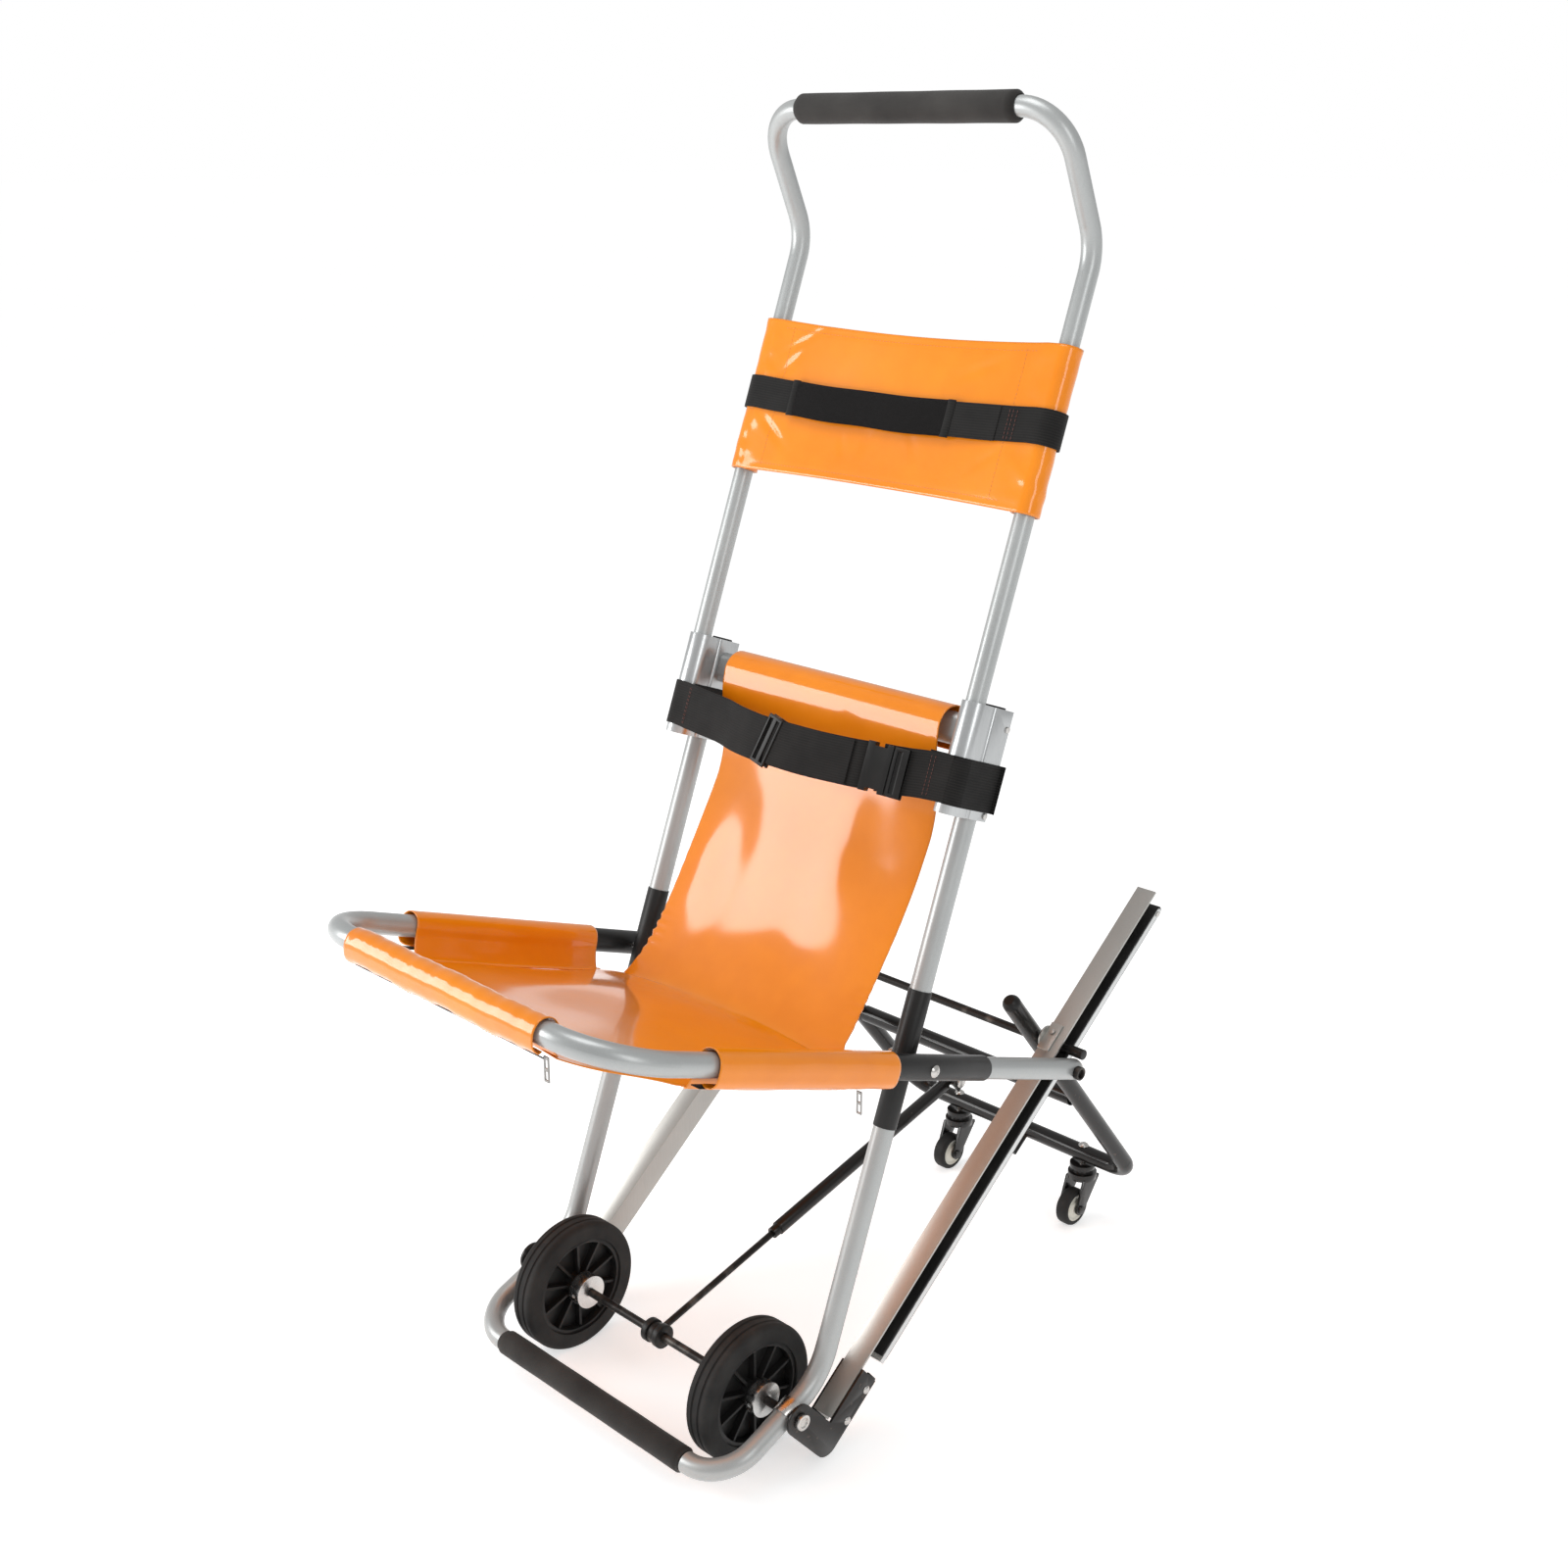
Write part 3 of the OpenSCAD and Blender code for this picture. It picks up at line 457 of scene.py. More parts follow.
def run_length(points, axis):
    """Length so far along one axis of a grid: the sum of its steps, averaged over the other axis."""
    steps = np.linalg.norm(np.diff(points, axis=axis), axis=-1).mean(axis=1 - axis)
    return np.concatenate([[0.0], np.cumsum(steps)])


def surface(name, points, finishes, wrap=(False, False), flip=False):
    """A smooth sheet through a grid of points, with a UV map in metres along its two ways."""
    rows, columns = points.shape[:2]
    faces = grid_faces(rows, columns, *wrap)
    if flip:
        faces = [face[::-1] for face in faces]
    made = piece(name, points, faces, finishes)
    u, v = run_length(points, 0), run_length(points, 1)
    lengths_uv(made, np.repeat(u[:, None], columns, 1), np.repeat(v[None], rows, 0))
    return made


def thickened(made, thickness, offset=-1.0):
    """Gives a sheet its thickness: behind it at offset -1, in front at 1, and to both sides at 0."""
    solid = made.modifiers.new("thickness", "SOLIDIFY")
    solid.thickness = thickness
    solid.offset = offset
    solid.use_even_offset = True
    return made


def capped(name, rings, finishes):
    """A closed bar through rings of points, each end closed by a fan to its own middle."""
    count, around = rings.shape[:2]
    ends = rings[[0, -1]].mean(axis=1)
    vertices = np.concatenate([rings.reshape(-1, 3), ends])
    faces = grid_faces(count, around, wrap_columns=True)
    last = (count - 1) * around
    for k in range(around):
        faces.append([(k + 1) % around, k, count * around])
        faces.append([last + k, last + (k + 1) % around, count * around + 1])
    made = piece(name, vertices, faces, finishes)
    u = np.concatenate([np.repeat(run_length(rings, 0), around), [0, 0]])
    v = np.concatenate([np.tile(run_length(rings, 1), count), [0, 0]])
    lengths_uv(made, u, v)
    return made


def facing_out(made):
    """Turns a closed piece's faces outwards."""
    mesh = bmesh.new()
    mesh.from_mesh(made.data)
    bmesh.ops.recalc_face_normals(mesh, faces=mesh.faces)
    mesh.to_mesh(made.data)
    mesh.free()
    return made


def turned_on_x(name, outline, centre, finishes, around=96):
    """A lathe shape: a closed outline of (x, radius), in millimetres, turned about the X line at centre."""
    outline = np.asarray(outline, float) * MM
    angle = np.linspace(0, 2 * np.pi, around, endpoint=False)
    x = np.repeat(outline[:, :1], around, 1) + centre[0]
    y = outline[:, 1:] * np.cos(angle) + centre[1]
    z = outline[:, 1:] * np.sin(angle) + centre[2]
    made = surface(name, np.stack([x, y, z], -1), finishes, wrap=(True, True))
    return facing_out(made)


def smooth_path(points, count):
    """A smooth curve through points: a Catmull-Rom spline sampled evenly by knot."""
    points = np.asarray(points, float)
    padded = np.concatenate([2 * points[:1] - points[1:2], points, 2 * points[-1:] - points[-2:-1]])
    t = np.linspace(0, len(points) - 1, count)
    k = np.minimum(t.astype(int), len(points) - 2)
    f = (t - k)[:, None]
    a, b, c, d = (padded[k + n] for n in range(4))
    bend = 2 * a - 5 * b + 4 * c - d
    turn = 3 * b - a - 3 * c + d
    return 0.5 * (2 * b + (c - a) * f + bend * f ** 2 + turn * f ** 3)


def length_along(path):
    """Length so far at each point of a path."""
    return np.concatenate([[0], np.cumsum(np.linalg.norm(np.diff(path, axis=0), axis=1))])


def read_at(at, run, rows):
    """Rows of numbers, known at the lengths in run, read between them at other lengths."""
    return np.stack([np.interp(at, run, column) for column in rows.T], -1)


def softened(node, width, segments, finish):
    """A node's shape again, merged, with its sharp edges rounded by width millimetres."""
    source = NODES[node]
    made = source.copy()
    made.data = source.data.copy()
    made.name = node + "_finished"
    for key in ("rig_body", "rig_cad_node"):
        del made[key]
    made.parent = None
    bpy.context.scene.collection.objects.link(made)
    mesh = bmesh.new()
    mesh.from_mesh(made.data)
    bmesh.ops.remove_doubles(mesh, verts=mesh.verts, dist=0.00001)
    bmesh.ops.dissolve_limit(mesh, angle_limit=0.02, verts=mesh.verts, edges=mesh.edges)
    mesh.to_mesh(made.data)
    mesh.free()
    made.data.materials.clear()
    made.data.materials.append(finish.material)
    made.data.polygons.foreach_set("use_smooth", np.ones(len(made.data.polygons), bool))
    edge = made.modifiers.new("edges", "BEVEL")
    edge.width = width * MM
    edge.segments = segments
    edge.limit_method = "ANGLE"
    edge.angle_limit = 0.6
    edge.harden_normals = True
    return placed(made, NODE_BODY[node], [node])


POD = 5, 6


def stitches(name, path, normal, finish, body, length=3.2, gap=1.4, radius=0.32):
    """A row of stitches on a path of the frame; length, gap and radius are in millimetres.

    Each stitch is a small pod along the path's tangent: its rings' radii are a half-sine over their length.
    """
    run = length_along(path)
    count = max(int(run[-1] / ((length + gap) * MM)), 1)
    at = (np.arange(count) + 0.5) * run[-1] / count
    centre = read_at(at, run, path)
    ahead, behind = np.minimum(at + 1e-4, run[-1]), np.maximum(at - 1e-4, 0)
    tangent = unit(read_at(ahead, run, path) - read_at(behind, run, path))
    up = unit(read_at(at, run, unit(np.broadcast_to(normal, path.shape))))
    side = np.cross(tangent, up)
    ring_count, around = POD
    s = np.linspace(0, 1, ring_count)
    angle = np.linspace(0, 2 * np.pi, around, endpoint=False)
    thick = radius * MM * (0.25 + 0.75 * np.sin(np.pi * s))
    rings = (centre[:, None, None] + ((s - 0.5) * length * MM)[None, :, None, None] * tangent[:, None, None]
             + (thick[:, None] * np.cos(angle))[None, ..., None] * side[:, None, None]
             + (thick[:, None] * np.sin(angle))[None, ..., None] * up[:, None, None])
    each = ring_count * around
    pod = grid_faces(ring_count, around, wrap_columns=True)
    pod += [list(range(around))[::-1], list(range(each - around, each))]
    faces = [[each * k + corner for corner in face] for k in range(count) for face in pod]
    return placed(facing_out(piece(name, rings, faces, [finish])), body)


def ease(t):
    """Smooth step: 0 below 0, 1 above 1, with no corner between."""
    t = np.clip(t, 0, 1)
    return t * t * (3 - 2 * t)


def ripple(a, b, waves):
    """A sum of sine waves over two lengths: each is (height, waves per a, waves per b, start)."""
    return sum(h * np.sin(2 * np.pi * (ka * a + kb * b) + start) for h, ka, kb, start in waves)


# ---------------------------------------------------------------- nodes kept from the frame

for node, thing in NODES.items():
    thing.data.materials.clear()
    thing.data.materials.append(SLOT_FINISH[NODE_SLOT[node]].material)

EDGES = {
    "block_left": 0.8, "block_right": 0.8, "track_left": 0.35, "track_right": 0.35, "guide_bars": 0.5,
    "track_brackets": 0.6, "wheel_collars": 0.6, "axle_nuts": 0.5, "strut_collar": 0.8, "pivot_tabs": 0.3,
    "buckle_socket": 1.2, "buckle_prong": 1.2, "belt_slider": 0.7, "castor_fork_left": 0.6,
    "castor_fork_right": 0.6, "strut_bracket": 0.4, "strut_bolt": 0.5, "rail_pins": 0.5, "leg_caps": 0.8,
    "bracket_screws": 0.3, "block_screws": 0.3, "bar_caps": 0.8, "strut_cylinder": 0.6, "strut_rod": 0.6,
    "zip_pulls": 0.25, "rim_left": 0.5, "rim_right": 0.5, "pedal": 0.8, "leg_sleeves": 0.3,
    "axle_saddles": 0.4, "track_belts": 0.4, "crossbar": 0.4,
}
FINISH_OF = {"guide_bars": GUIDE_ALLOY, "strut_rod": DARK_STEEL, "zip_pulls": PULL_METAL}
for node, width in EDGES.items():
    softened(node, width, 3 if width >= 0.8 else 2, FINISH_OF.get(node) or SLOT_FINISH[NODE_SLOT[node]])


# ---------------------------------------------------------------- cloth helpers

def cloth(points):
    """Takes the two diagonals of each quad of a grid of points; nothing is kept or returned."""
    a, b = points[1:, 1:] - points[:-1, :-1], points[1:, :-1] - points[:-1, 1:]


# ---------------------------------------------------------------- foam, castors

FOAM_ROUND = 4.0


def foam(name, node, inner):
    """A foam tube on an X bar: quarter-round ends, and a radius that swells a little by a slow wave."""
    low, high = (np.array(corner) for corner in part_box(node))
    half, outer = (high - low)[:2] / 2 / MM
    x = np.linspace(-half, half, 61)
    end = np.clip((half - np.abs(x)) / FOAM_ROUND, 0, 1)
    corner = FOAM_ROUND * (np.sqrt(1 - (1 - end) ** 2) - 1)
    radius = outer + corner - 0.1 * end * (1 + ripple(x, 0, [(1, 0.011, 0, 0.4)]))
    outline = np.concatenate([np.stack([x, radius], -1), [[half, inner], [-half, inner]]])
    return placed(turned_on_x(name, outline, middle(node), [FOAM], 72), NODE_BODY[node], [node])


def mirrored(half_outline):
    """An outline of (x, radius) down one side and back up the other."""
    return half_outline + [[-x, radius] for x, radius in half_outline[::-1]]


foam("handle_foam", "handle_grip", 11.1)
foam("foot_foam", "foot_grip", 12.1)

HUB = mirrored([[9, 3.1], [9, 7], [8.6, 8], [6.5, 8.6], [6.0, 15.5], [7.6, 16.5], [8.2, 17.6], [8.2, 18.6]])
TREAD_OUTLINE = mirrored([[8.6, 18.4], [9, 19.5], [8.6, 22.4], [7.2, 24.2], [5, 24.9]])
for side in ("left", "right"):
    node = "castor_wheel_" + side
    at, body = middle(node), "castor_roller_" + side
    placed(turned_on_x(node + "_hub", HUB, at, [CREAM]), body, [node])
    placed(turned_on_x(node + "_tread", TREAD_OUTLINE, at, [TREAD]), body)


# ---------------------------------------------------------------- sling

UPRIGHT_X = 211.0
HANDLE_BACK = -34.4
RAIL_X = 243.0
CLOTH_THICK = 0.0011
CREASE = np.array([[47, -32], [60, -31], [100, -33], [200, -34], [300, -33], [380, -29], [440, -22]], float)


def crease(d):
    """Height of the seat panel's side crease at a distance d forward, in millimetres."""
    return np.interp(d, CREASE[:, 0], CREASE[:, 1])


def mound(distance, reach):
    """A soft mound: e to the minus square of a distance over its reach."""
    return np.exp(-(distance / reach) ** 2)


def sling_rows():
    """The sling's side line as rows of (leg back, leg up, half width, sag), before smoothing.

    It goes round the crossbar's roll, down the back, and forward along the seat's crease.
    """
    turn = np.radians(np.linspace(-75, 196, 16))
    roll = np.stack([-3 + 24.6 * np.cos(turn), 356 + 24.6 * np.sin(turn)], -1)
    rows = [[q, a, 166.5, 0] for q, a in roll]
    rows += [[-23.5, 334, 167, 0], [-16, 314, 167, 2], [-6, 293, 167.5, 5], [3, 268, 168, 8],
             [6, 243, 168, 9], [4, 217, 168, 9], [-8, 139, 168, 9], [-18, 88, 168, 8], [-29, 47, 168, 8],
             [-41, 14, 168.5, 8], [-50, -6, 171, 9]]
    for d, width, sag in ((50, 190, 12), (54, 208, 14), (66, 215.5, 16), (90, 216, 17), (140, 216, 17),
                          (200, 216, 16), (260, 216, 14), (329, 215.5, 10), (350, 207, 8), (390, 184, 5),
                          (425, 166, 2), (441, 156, 0)):
        q, a = leg_coordinates(seat_points([0, crease(d), d]))[1:]
        rows.append([q, a, width, sag])
    return np.array(rows, float)


def sling_grid():
    """The sling: each side-line row carried across, its middle sagging, then lifted and softened.

    The lift is along the side line's normal: slow waves, two pulled places, and puckers that fade away from
    each edge. Softening blends each column towards its own weighted running mean along the side line.
    """
    rows = smooth_path(sling_rows(), 230)
    along = length_along(rows[:, :2])
    even = np.linspace(0, along[-1], 300)
    rows = read_at(even, along, rows)
    heading = unit(np.gradient(rows[:, :2], axis=0))
    away = np.stack([-heading[:, 1], heading[:, 0]], -1)
    u = np.linspace(-1, 1, 121)
    u = np.sign(u) * (1 - (1 - np.abs(u)) ** 1.15)
    x = rows[:, 2:3] * u
    run = even[:, None] + 0 * x
    free = ease((even - 150) / 60)[:, None]
    bend = mound(even - 520, 70)[:, None]
    slow = ripple(x, run, [(1.6, 0.0021, 0.0030, 0.3), (1.1, -0.0035, 0.0052, 1.7),
                           (0.35, 0.0090, -0.0040, 2.1), (0.10, 0.013, 0.017, 0.7)])
    pulled = 2.4 * mound(x + 95, 38) * mound(run - 360, 90) - 1.8 * mound(x - 60, 26) * mound(run - 300, 80)
    far_edge, near_edge = mound(x + rows[:, 2:3], 15), mound(x - rows[:, 2:3], 12)
    pucker = mound(even - 455, 85)[:, None] * np.sin(2 * np.pi * run / 14 + 2.6 * np.sin(run / 23))
    pucker = pucker * (0.55 + 0.45 * np.sin(run / 17 + 0.8))
    lift = free * (slow * (1 - 0.7 * bend) + pulled) * (1 - 0.6 * far_edge)
    lift = lift + (1.9 * far_edge + 0.7 * near_edge) * pucker - rows[:, 3:4] * (1 - u ** 2) ** 0.8
    side_line = rows[:, None, :2] + lift[..., None] * away[:, None]
    kernel = mound(even[:, None] - even, 46)
    kernel /= kernel.sum(axis=1, keepdims=True)
    broad = (kernel @ side_line.reshape(len(even), -1)).reshape(side_line.shape)
    share = (free * (1 - ease((even - even[-1] + 60) / 50)[:, None]) * (1 - u ** 2) ** 0.4)[..., None]
    side_line = side_line * (1 - share) + broad * share
    return leg_points(np.concatenate([x[..., None], side_line], -1))


def sling():
    """The sling as one sheet over the main frame and the seat. Where it bends between them, from 95 mm up the
    leg to 105 mm forward, is worked out as two points that nothing uses.
    """
    points = sling_grid()
    made = thickened(surface("sling", points, [VINYL]), CLOTH_THICK, 0.0)
    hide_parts("sling_back")
    leg_points([0, -20, 95])
    seat_points([0, -34, 105])
    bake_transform(made)
    cloth(points)


sling()


# ---------------------------------------------------------------- rail sleeves, front sleeve

def flat_bar(name, x, h, d, nodes=()):
    """A tape of rectangular section on the seat, between two x and two h, running along d."""
    corners = np.array([[x[0], h[0]], [x[1], h[0]], [x[1], h[1]], [x[0], h[1]]])
    section = np.broadcast_to(corners, (len(d), 4, 2))
    rings = np.concatenate([section, np.broadcast_to(d[:, None, None], (len(d), 4, 1))], -1)
    made = facing_out(capped(name, seat_points(rings), [WEBBING]))
    return placed(made, "seat", nodes)


def sleeve_grid(side):
    """Cloth round a side rail, from its zip, up the outside, over, and down the inside to the crease.

    Each point is (side * x, h, d): x and h come from one smooth profile, and d runs evenly between two ends
    that are drawn in by a parabola towards the lower corners.
    """
    profile = [[236, -20.4], [245, -21], [253, -19.4], [257.6, -13.6], [258.7, -6], [258.6, 2], [255.4, 10],
               [248, 15.2], [240, 15.4], [232.5, 11.6], [228.8, 3], [227.4, -9], [224, -21], [219, -31],
               [215.2, 0]]
    path = smooth_path(profile, 92)
    t = np.linspace(0, 1, 92)
    rear = 62 + 9 * np.clip(1 - t / 0.17, 0, 1) ** 2 - 4 * ease((t - 0.8) / 0.2)
    ahead = 331 - 5 * np.clip(1 - t / 0.12, 0, 1) ** 2
    d = rear + (ahead - rear) * np.linspace(0, 1, 121)[:, None]
    x, h = path[:, 0] + 0 * d, path[:, 1] + 0 * d
    inner = ease((t - 0.80) / 0.2)
    h = h * (1 - inner) + inner * (crease(d) + 0.6)
    slack = ease((t - 0.02) / 0.2) * (1 - ease((t - 0.75) / 0.2))
    x = x + 0.35 * slack * ripple(d, h, [(1, 0.0045, 0.012, side), (0.3, 0.013, 0.02, 2)])
    low = np.clip(1 - t / 0.25, 0, 1)
    h = h + 0.5 * low * ripple(d, 0, [(1, 0.011, 0, 0.6 + side), (0.5, 0.031, 0, 2)])
    return seat_points(np.stack([side * x, h, d], -1))


def rail_sleeve(side):
    """A rail's cloth, its seam, its zip and the plastic collar on the tube."""
    label = "left" if side > 0 else "right"
    first = side > 0
    points = sleeve_grid(side)
    made = surface("rail_sleeve_" + label, points, [VINYL], flip=first)
    thickened(made, CLOTH_THICK)
    placed(made, "seat", ["sling_seat"] if first else [])
    cloth(points)
    normal = side * RIGHT * 0.4 - SEAT_ABOVE
    seam = points[4:-4, 4] + 0.0006 * unit(normal)
    stitches("rail_seam_" + label, seam, normal, ORANGE_THREAD, "seat")
    teeth = np.stack([np.full(130, side * 236.5), np.full(130, -24.3), np.linspace(74, 328, 130)], -1)
    stitches("rail_teeth_" + label, seat_points(teeth), -SEAT_ABOVE, PLASTIC, "seat",
             1.6, 0.5, 1.0)
    flat_bar("rail_zip_" + label, [side * 230.5, side * 242.5], [-24.0, -22.9], np.linspace(66, 335, 90),
             ["zips"] if first else [])
    turn = np.linspace(0, 2 * np.pi, 48, endpoint=False)
    d = np.array([-102, -101.6, -101, 60, 94.5, 95])[:, None]
    r = np.array([13.2, 14.0, 14.3, 14.3, 14.3, 13.4])[:, None]
    collar = np.stack([side * RAIL_X + r * np.cos(turn), r * np.sin(turn), d + 0 * turn], -1)
    made = facing_out(capped("rail_collar_" + label, seat_points(collar), [PLASTIC]))
    placed(made, "seat", ["rail_sleeves"] if first else [])


def front_sleeve():
    """Cloth round the seat's front bar: a smooth profile of (h, d) carried along x with slow waves."""
    profile = smooth_path([[-20.6, 456], [-21.8, 463], [-17, 471], [-8, 475.2], [1, 476], [10, 472.4],
                           [15, 464], [14.2, 454], [8, 446.6], [-2, 444.4], [-12, 444], [-19, 442.6],
                           [-22.6, 438]], 80)
    t = np.linspace(0, 1, 80)
    x = np.linspace(-1, 1, 141)[:, None] * (155 - 4 * np.clip(1 - t / 0.15, 0, 1) ** 2)
    wave = ripple(x, 0, [(0.5, 0.008, 0, 1.0), (0.3, 0.021, 0, 0.2), (0.15, 0.05, 0, 2.0)])
    h = profile[:, 0] + wave * (1 + 1.4 * np.clip(1 - t / 0.2, 0, 1))
    points = seat_points(np.stack([x, h, profile[:, 1] + 0.5 * wave], -1))
    made = thickened(surface("front_sleeve", points, [VINYL], flip=True), CLOTH_THICK)
    placed(made, "seat")
    cloth(points)
    line = points[4:-4, 5] - 0.0006 * SEAT_ABOVE
    stitches("front_seam", line, -SEAT_ABOVE, ORANGE_THREAD, "seat")
    teeth = np.stack([np.linspace(-152, 160, 150), np.full(150, -22.8), np.full(150, 459.0)], -1)
    stitches("front_teeth", seat_points(teeth), -SEAT_ABOVE, PLASTIC, "seat", 1.6, 0.5, 1.0)


for side in (1, -1):
    rail_sleeve(side)
front_sleeve()


# ---------------------------------------------------------------- back band

def round_uprights(radius, start, count, across):
    """A path in (x, behind the uprights): round one upright, straight across in front, round the other."""
    turn = np.radians(np.linspace(start, 270, count))
    first = np.stack([-UPRIGHT_X + radius * np.cos(turn), radius * np.sin(turn)], -1)
    x = np.linspace(-UPRIGHT_X, UPRIGHT_X, across)[1:-1]
    return np.concatenate([first, np.stack([x, np.full(len(x), -radius)], -1), first[::-1] * [-1, 1]])


def band_folds(s, x, up):
    """The band's waves, and its creases: each a slanted mound that dips on both sides of its ridge.

    A crease is (x, height up the leg, rise, reach along it, reach across it, slant).
    """
    fold = ripple(s, up, [(0.8, 0.0021, 0.0043, 0.3), (0.3, -0.0052, 0.0062, 1.2),
                          (0.05, 0.019, -0.013, 0.5)])
    for at, level, rise, long, wide, slant in (
            (-165, 715, 1.3, 22, 9, 0.9), (-172, 640, 1.1, 26, 8, -0.6), (-150, 745, 0.7, 30, 7, 0.5),
            (-20, 640, 0.8, 16, 11, 1.3), (-55, 632, 0.6, 12, 9, 1.9), (165, 640, 0.6, 20, 8, 0.7),
            (120, 735, 0.5, 34, 9, 0.4), (40, 655, 0.4, 26, 8, -1.0)):
        far, high = s - np.interp(at, x[60:200], s[60:200]), up - level
        near = far * np.cos(slant) + high * np.sin(slant)
        cross = high * np.cos(slant) - far * np.sin(slant)
        fold = fold + rise * mound(near, long) * mound(cross, wide) * np.cos(cross / wide * 1.8)
    return fold


def band_tucks(s, up):
    """The gathers round an upright: fine waves, and slanted tucks of (level, rise, reach, slant)."""
    tuck = ripple(up, s, [(0.10, 0.031, 0.006, 0.4), (0.06, 0.052, -0.011, 1.9), (0.16, 0.012, 0.004, 0.8)])
    for level, rise, reach, slant in ((742, 0.7, 9, -0.35), (722, -0.5, 7, 0.5), (708, 0.6, 6, 0.3),
                                      (650, 0.8, 8, 0.45), (634, -0.5, 9, -0.3), (612, 0.4, 7, 0.2)):
        tuck = tuck + rise * mound(up + slant * (s % 90) - level, reach)
    return tuck


def back_band():
    """The band across the handle: a path carried up the leg, folded in front and tucked at the sides."""
    path = round_uprights(14.7, -48, 44, 181)
    s = length_along(path)
    t = np.linspace(0, 1, 61)[:, None]
    in_front = path[:, 1] < -10
    across = np.clip(1 - (path[:, 0] / 196) ** 2, 0, 1) * in_front
    up = 589 + 2.5 * across + t * (179 - 9.0 * across)
    sleeve = 1 - ease((200 - np.abs(path[:, 0])) / 26)
    hem = 0.22 * (mound(t - 0.04, 0.012) + mound(t - 0.96, 0.012))
    bow = 3.0 * across * np.sin(np.pi * t)
    depth = path[:, 1] + (1 - sleeve) * (band_folds(s, path[:, 0], up) + hem) + bow
    centre_x = np.sign(path[:, 0]) * UPRIGHT_X
    outward = unit(np.stack([path[:, 0] - centre_x, path[:, 1]], -1))
    tuck = sleeve * band_tucks(s, up)
    x, depth = path[:, 0] + tuck * outward[:, 0], depth + tuck * outward[:, 1]
    points = leg_points(np.stack([x, HANDLE_BACK + depth, up], -1))
    made = thickened(surface("back_band_cloth", points, [VINYL]), CLOTH_THICK, 1.0)
    placed(made, "handle", ["back_band"])
    cloth(points)
    raised = -0.0012 * LEG_BACK
    front = in_front & (np.abs(path[:, 0]) < 186)
    for label, row in (("low", 3), ("high", 57)):
        stitches("band_hem_" + label, points[row][front] + raised, -LEG_BACK, ORANGE_THREAD, "handle")
    for label, seam_x in (("left", 172), ("right", -172)):
        k = int(np.argmin(np.abs(path[:, 0] - seam_x) + 100 * (path[:, 1] > -10)))
        stitches("band_seam_" + label, points[2:-2, k] + raised, -LEG_BACK, ORANGE_THREAD, "handle")


back_band()


# ---------------------------------------------------------------- head strap

def strap(name, path, width, thickness, body, slot, nodes, rests, finish=WEBBING, wrap=False, crown=0.0):
    """Flat webbing: path gives (x, back, up the leg) of its middle line, and its width runs up the leg."""
    v = np.linspace(-0.5, 0.5, 15)[:, None]
    flat = 1 - (2 * np.abs(v)) ** 6
    x, back, up = (column + 0 * v for column in path.T)
    points = leg_points(np.stack([x, back - crown * flat, up + v * width + 0.25 * np.sin(x / 17) * v], -1))
    made = thickened(surface(name, points, [finish], wrap=(False, wrap)), thickness * MM, 0.0)
    edge = made.modifiers.new("edges", "BEVEL")
    edge.width, edge.segments, edge.limit_method, edge.angle_limit = 0.3 * MM, 2, "ANGLE", 0.9
    placed(made, body, nodes)
    cloth(points)
    return points


def strap_level(x):
    """Height up the leg of the head strap's middle: it hangs 5 mm lower between its ends."""
    return 680.5 - 5.2 * np.sin(np.pi * np.clip((x + 200) / 400, 0, 1)) ** 0.8


def front_piece(name, x, out, drop, width, thickness, slot, nodes, rests, **looks):
    """A length of strap in front: out is how far before the uprights' centres, drop how far it hangs."""
    path = np.stack([x, HANDLE_BACK - out, strap_level(x) - drop], -1)
    strap(name, path, width, thickness, "handle", slot, nodes, rests, **looks)


def head_strap():
    """The strap's loop round both uprights, its nap, end tab and folds, and three rows of stitches."""
    ahead = round_uprights(17.6, 90, 25, 141)
    behind = ahead[25:-25][::-1] * [1, -1]
    loop = np.concatenate([ahead, behind])
    slack = 2.4 * np.clip(1 - (loop[:, 0] / 200) ** 2, 0, 1) * (loop[:, 1] > 0)
    path = np.stack([loop[:, 0], HANDLE_BACK + loop[:, 1] + slack, strap_level(loop[:, 0])], -1)
    strap("head_strap_web", path, 38, 1.7, "handle", "black_webbing", ["head_strap"], "back_band_cloth",
          wrap=True)
    x = np.linspace(-145, 95, 97)
    front_piece("strap_nap", x, 19.6 + 0.35 * np.sin(x / 23), 1.0 + 0.5 * np.sin(x / 19), 40, 2.4,
                "hook_and_loop", ["strap_patch"], "head_strap_web", finish=LOOP_TAPE, crown=0.9)
    x = np.linspace(96, 160, 33)
    front_piece("strap_tab", x, 19.4 - 0.9 * ease((x - 120) / 30), 0.6, 38, 1.7, "black_webbing", [],
                "head_strap_web")
    across = np.linspace(-5.5, 5.5, 9)
    for name, at in (("strap_fold_start", -141.0), ("strap_fold_end", 93.0)):
        drop = 0.6 - strap_level(at) + strap_level(at + across)
        front_piece(name, at + across, 21.8 - 0.06 * across ** 2, drop, 41.5, 1.4, "black_webbing", [],
                    "strap_nap")
    for k, at in enumerate((172.0, 176.5, 182.0)):
        line = np.stack([np.full(20, at), np.full(20, HANDLE_BACK - 18.9), np.linspace(661.5, 694.5, 20)], -1)
        stitches(f"strap_stitch_{k}", leg_points(line), -LEG_BACK, RED_THREAD, "handle",
                 3.6, 0.9, 0.4)


head_strap()


# ---------------------------------------------------------------- waist belt

BELT_LEVEL = 303.0


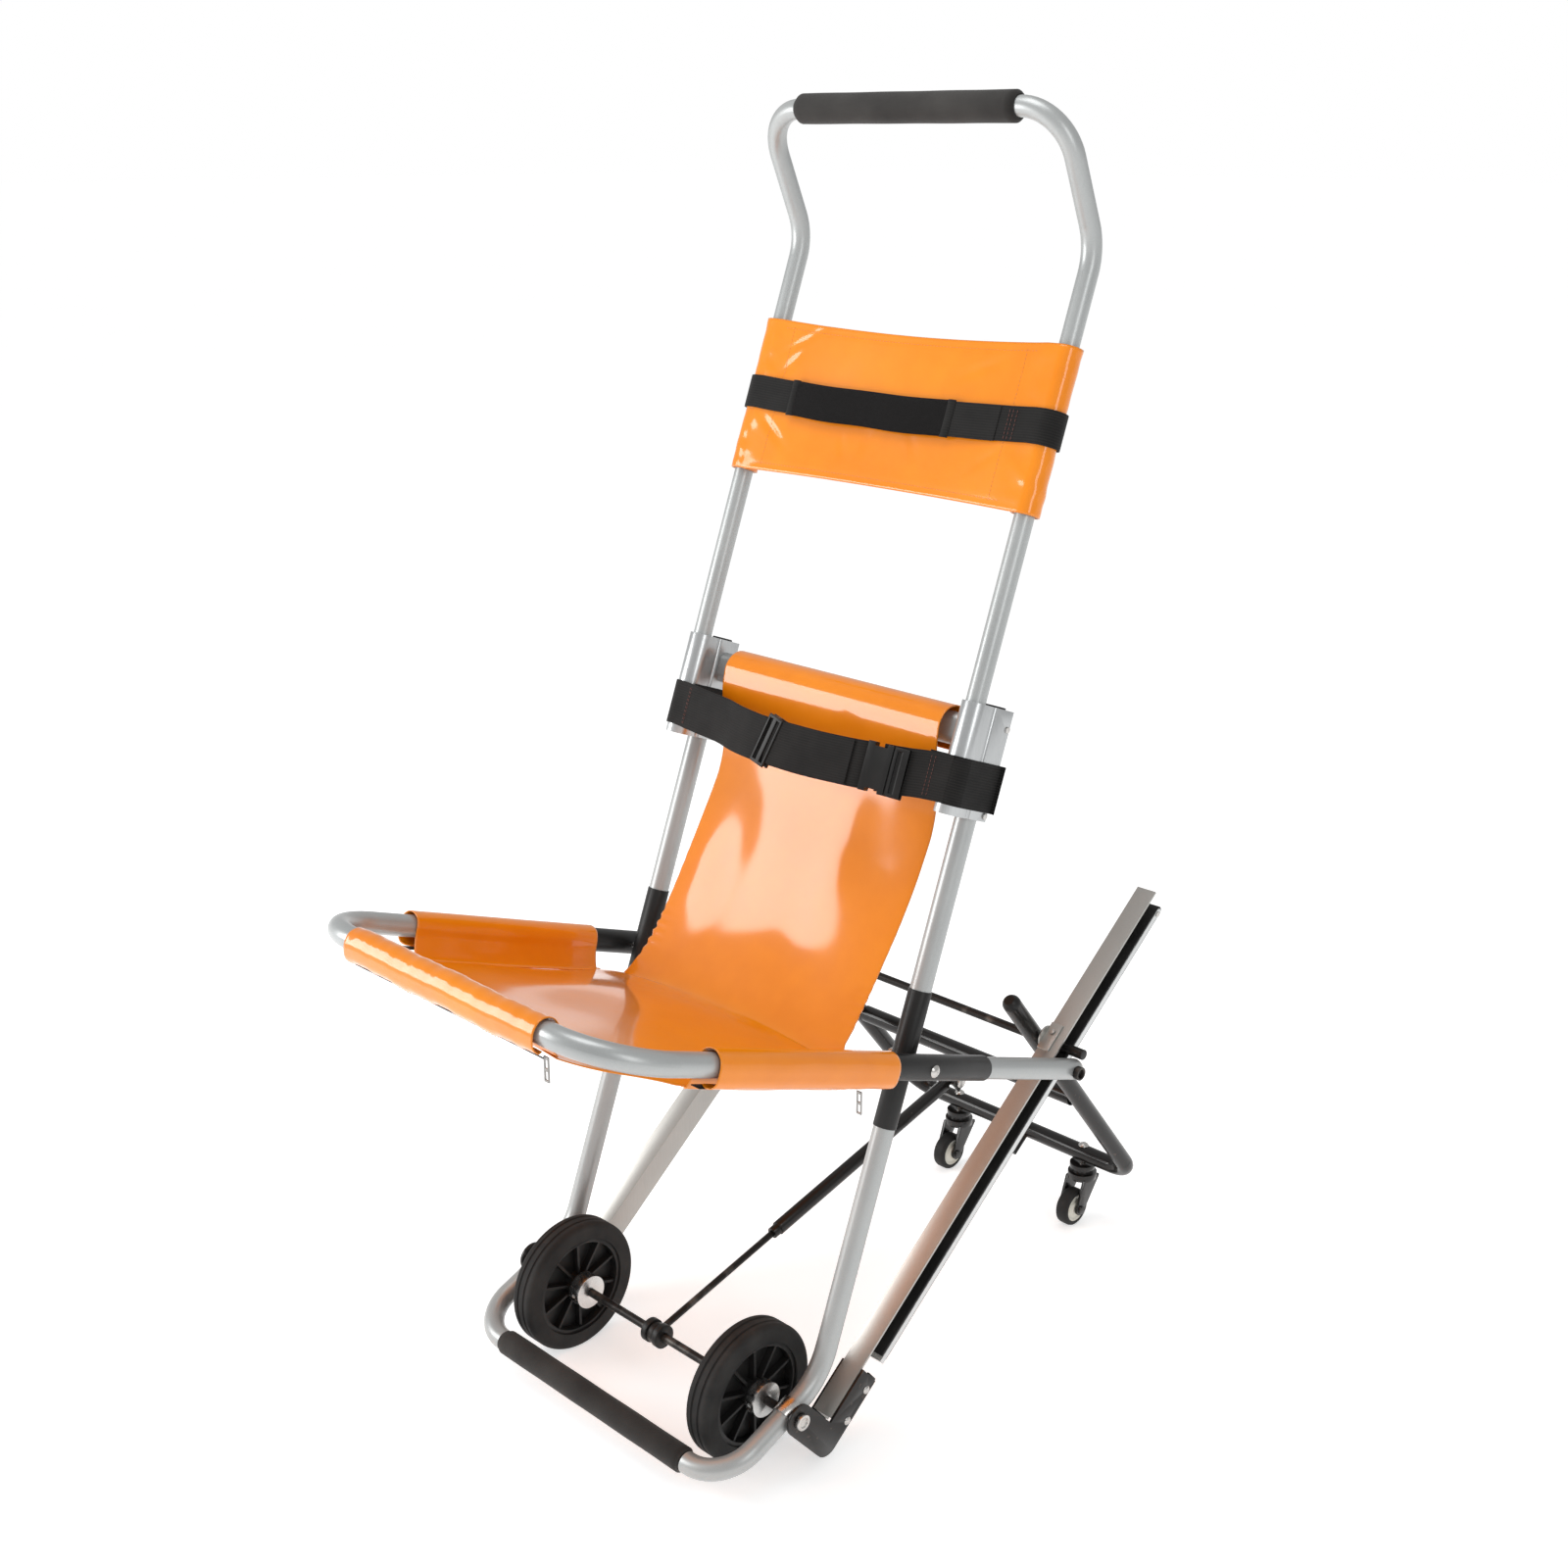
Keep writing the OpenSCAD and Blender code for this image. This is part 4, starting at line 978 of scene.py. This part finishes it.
def belt_end(side, run_in):
    """Webbing round a clamp block: in from the buckle, round its outside and back, to end inside it."""
    turn = np.radians(np.linspace(-90, 0, 12))
    lobe = np.stack([UPRIGHT_X + 15.6 * np.cos(turn), HANDLE_BACK + 15.6 * np.sin(turn)], -1)
    turn = np.radians(np.linspace(0, 90, 7))
    rear = np.stack([224.4 + 2.2 * np.cos(turn), 15.6 + 2.2 * np.sin(turn)], -1)
    inside = [[211, 17.8], [197.6, 17.8], [195.6, 16], [195.4, 0], [195.4, -20], [194.6, -34], [190, -44.6],
              [181, -48.6]]
    loop = np.concatenate([lobe, [[226.6, -18], [226.6, 0]], rear, inside])
    level = np.full((len(loop), 1), BELT_LEVEL)
    path = smooth_path(np.concatenate([run_in, np.concatenate([loop, level], -1)]), 240)
    return path * [side, 1, 1]


NEAR_RUN = [[131, -63.6, 296], [146, -59.2, 297], [161.5, -54.9, 298.6], [176, -51.9, 300.6],
            [194, -50.4, 302.2]]
FAR_RUN = [[-116.5, -68.6, 294.5], [-99, -74, 293], [-49, -79, 290.5], [0, -80, 290], [40, -79, 290.5],
           [80, -71.5, 293], [116, -61.5, 297], [150, -56, 299], [180, -52.4, 301], [196, -50.4, 302.4]]
TAIL = [[-21, -82.2, 290.3], [20, -82.2, 290.2], [60, -79.8, 291], [99, -76.2, 292.6]]


def belts():
    """Both belts and the loose tail, and two rows of stitches beside each clamp block."""
    webs = {}
    for label, side, run_in in (("left", 1, NEAR_RUN), ("right", -1, FAR_RUN)):
        webs[label] = strap("belt_web_" + label, belt_end(side, run_in), 52, 1.6, "main_frame",
                            "black_webbing", ["waist_belt_" + label], "block_" + label)
    strap("belt_tail", smooth_path(TAIL, 60), 50, 1.5, "main_frame", "black_webbing", [], "belt_web_right")
    for label, points in webs.items():
        x, back, _ = leg_coordinates(points[7]).T
        for n, at in enumerate((187.0, 191.0)):
            k = int(np.argmin(np.abs(np.abs(x) - at) + 100 * (back > -49)))
            stitches(f"belt_stitch_{label}_{n}", points[1:-1, k] - 0.001 * LEG_BACK, -LEG_BACK, RED_THREAD,
                     "main_frame", 3.4, 1.0, 0.35)


belts()


# ---------------------------------------------------------------- floor, light, camera

WHITE = (1, 1, 1, 1)


def floor():
    """A wide pale floor that glows a little, with faint clouds."""
    pale = Finish("pale_floor", roughness=0.9, specular_ior_level=0.0, emission_color=WHITE,
                  emission_strength=0.5)
    pale.colour(pale.mix(pale.noise(1.5), (0.90, 0.90, 0.90), (0.93, 0.93, 0.93)))
    corners = 60.0 * np.array([[-1, -1, 0], [1, -1, 0], [1, 1, 0], [-1, 1, 0]])
    piece("floor", corners, [[0, 1, 2, 3]], [pale])


def studio():
    """White surroundings: full white where the camera sees them, and softer where they light the chair."""
    world = bpy.data.worlds.new("studio")
    bpy.context.scene.world = world
    world.use_nodes = True
    nodes, link = world.node_tree.nodes, world.node_tree.links.new
    sky = nodes["Background"]
    sky.inputs["Color"].default_value = WHITE
    sky.inputs["Strength"].default_value = 0.55
    behind = nodes.new("ShaderNodeBackground")
    behind.inputs["Color"].default_value = WHITE
    choice = nodes.new("ShaderNodeMixShader")
    link(nodes.new("ShaderNodeLightPath").outputs["Is Camera Ray"], choice.inputs[0])
    link(sky.outputs[0], choice.inputs[1])
    link(behind.outputs[0], choice.inputs[2])
    link(choice.outputs[0], nodes["World Output"].inputs[0])


def lamp(name, place, aim, size, power):
    """A rectangular lamp at a place, turned to face its aim."""
    light = bpy.data.lights.new(name, "AREA")
    light.shape, light.size, light.size_y, light.energy = "RECTANGLE", size[0], size[1], power
    thing = bpy.data.objects.new(name, light)
    thing.location = place
    thing.rotation_mode = "QUATERNION"
    thing.rotation_quaternion = (Vector(aim) - Vector(place)).to_track_quat("-Z", "Y")
    bpy.context.scene.collection.objects.link(thing)


def camera(place, down, round_z, focal):
    """A camera at a place, pitched down and turned about Z by degrees, with a focal length in millimetres."""
    lens = bpy.data.cameras.new("camera")
    lens.lens, lens.sensor_width = focal, 36
    lens.clip_start, lens.clip_end = 0.05, 200
    thing = bpy.data.objects.new("camera", lens)
    thing.location = place
    thing.rotation_euler = (np.radians(90 - down), 0, np.radians(round_z))
    bpy.context.scene.collection.objects.link(thing)
    bpy.context.scene.camera = thing


floor()
studio()
lamp("key", (-1.9, -2.0, 1.25), (0, 0.05, 0.65), (1.2, 1.4), 40)
lamp("side", (2.6, -0.9, 2.0), (0, 0, 0.7), (0.7, 1.6), 14)
lamp("top", (-0.2, -0.5, 3.2), (0, 0, 0.6), (1.4, 1.4), 22)
bpy.context.scene.view_settings.view_transform = "Standard"
camera((1.4796, -1.4754, 1.3792), 18.18, 45.03, 45.3)
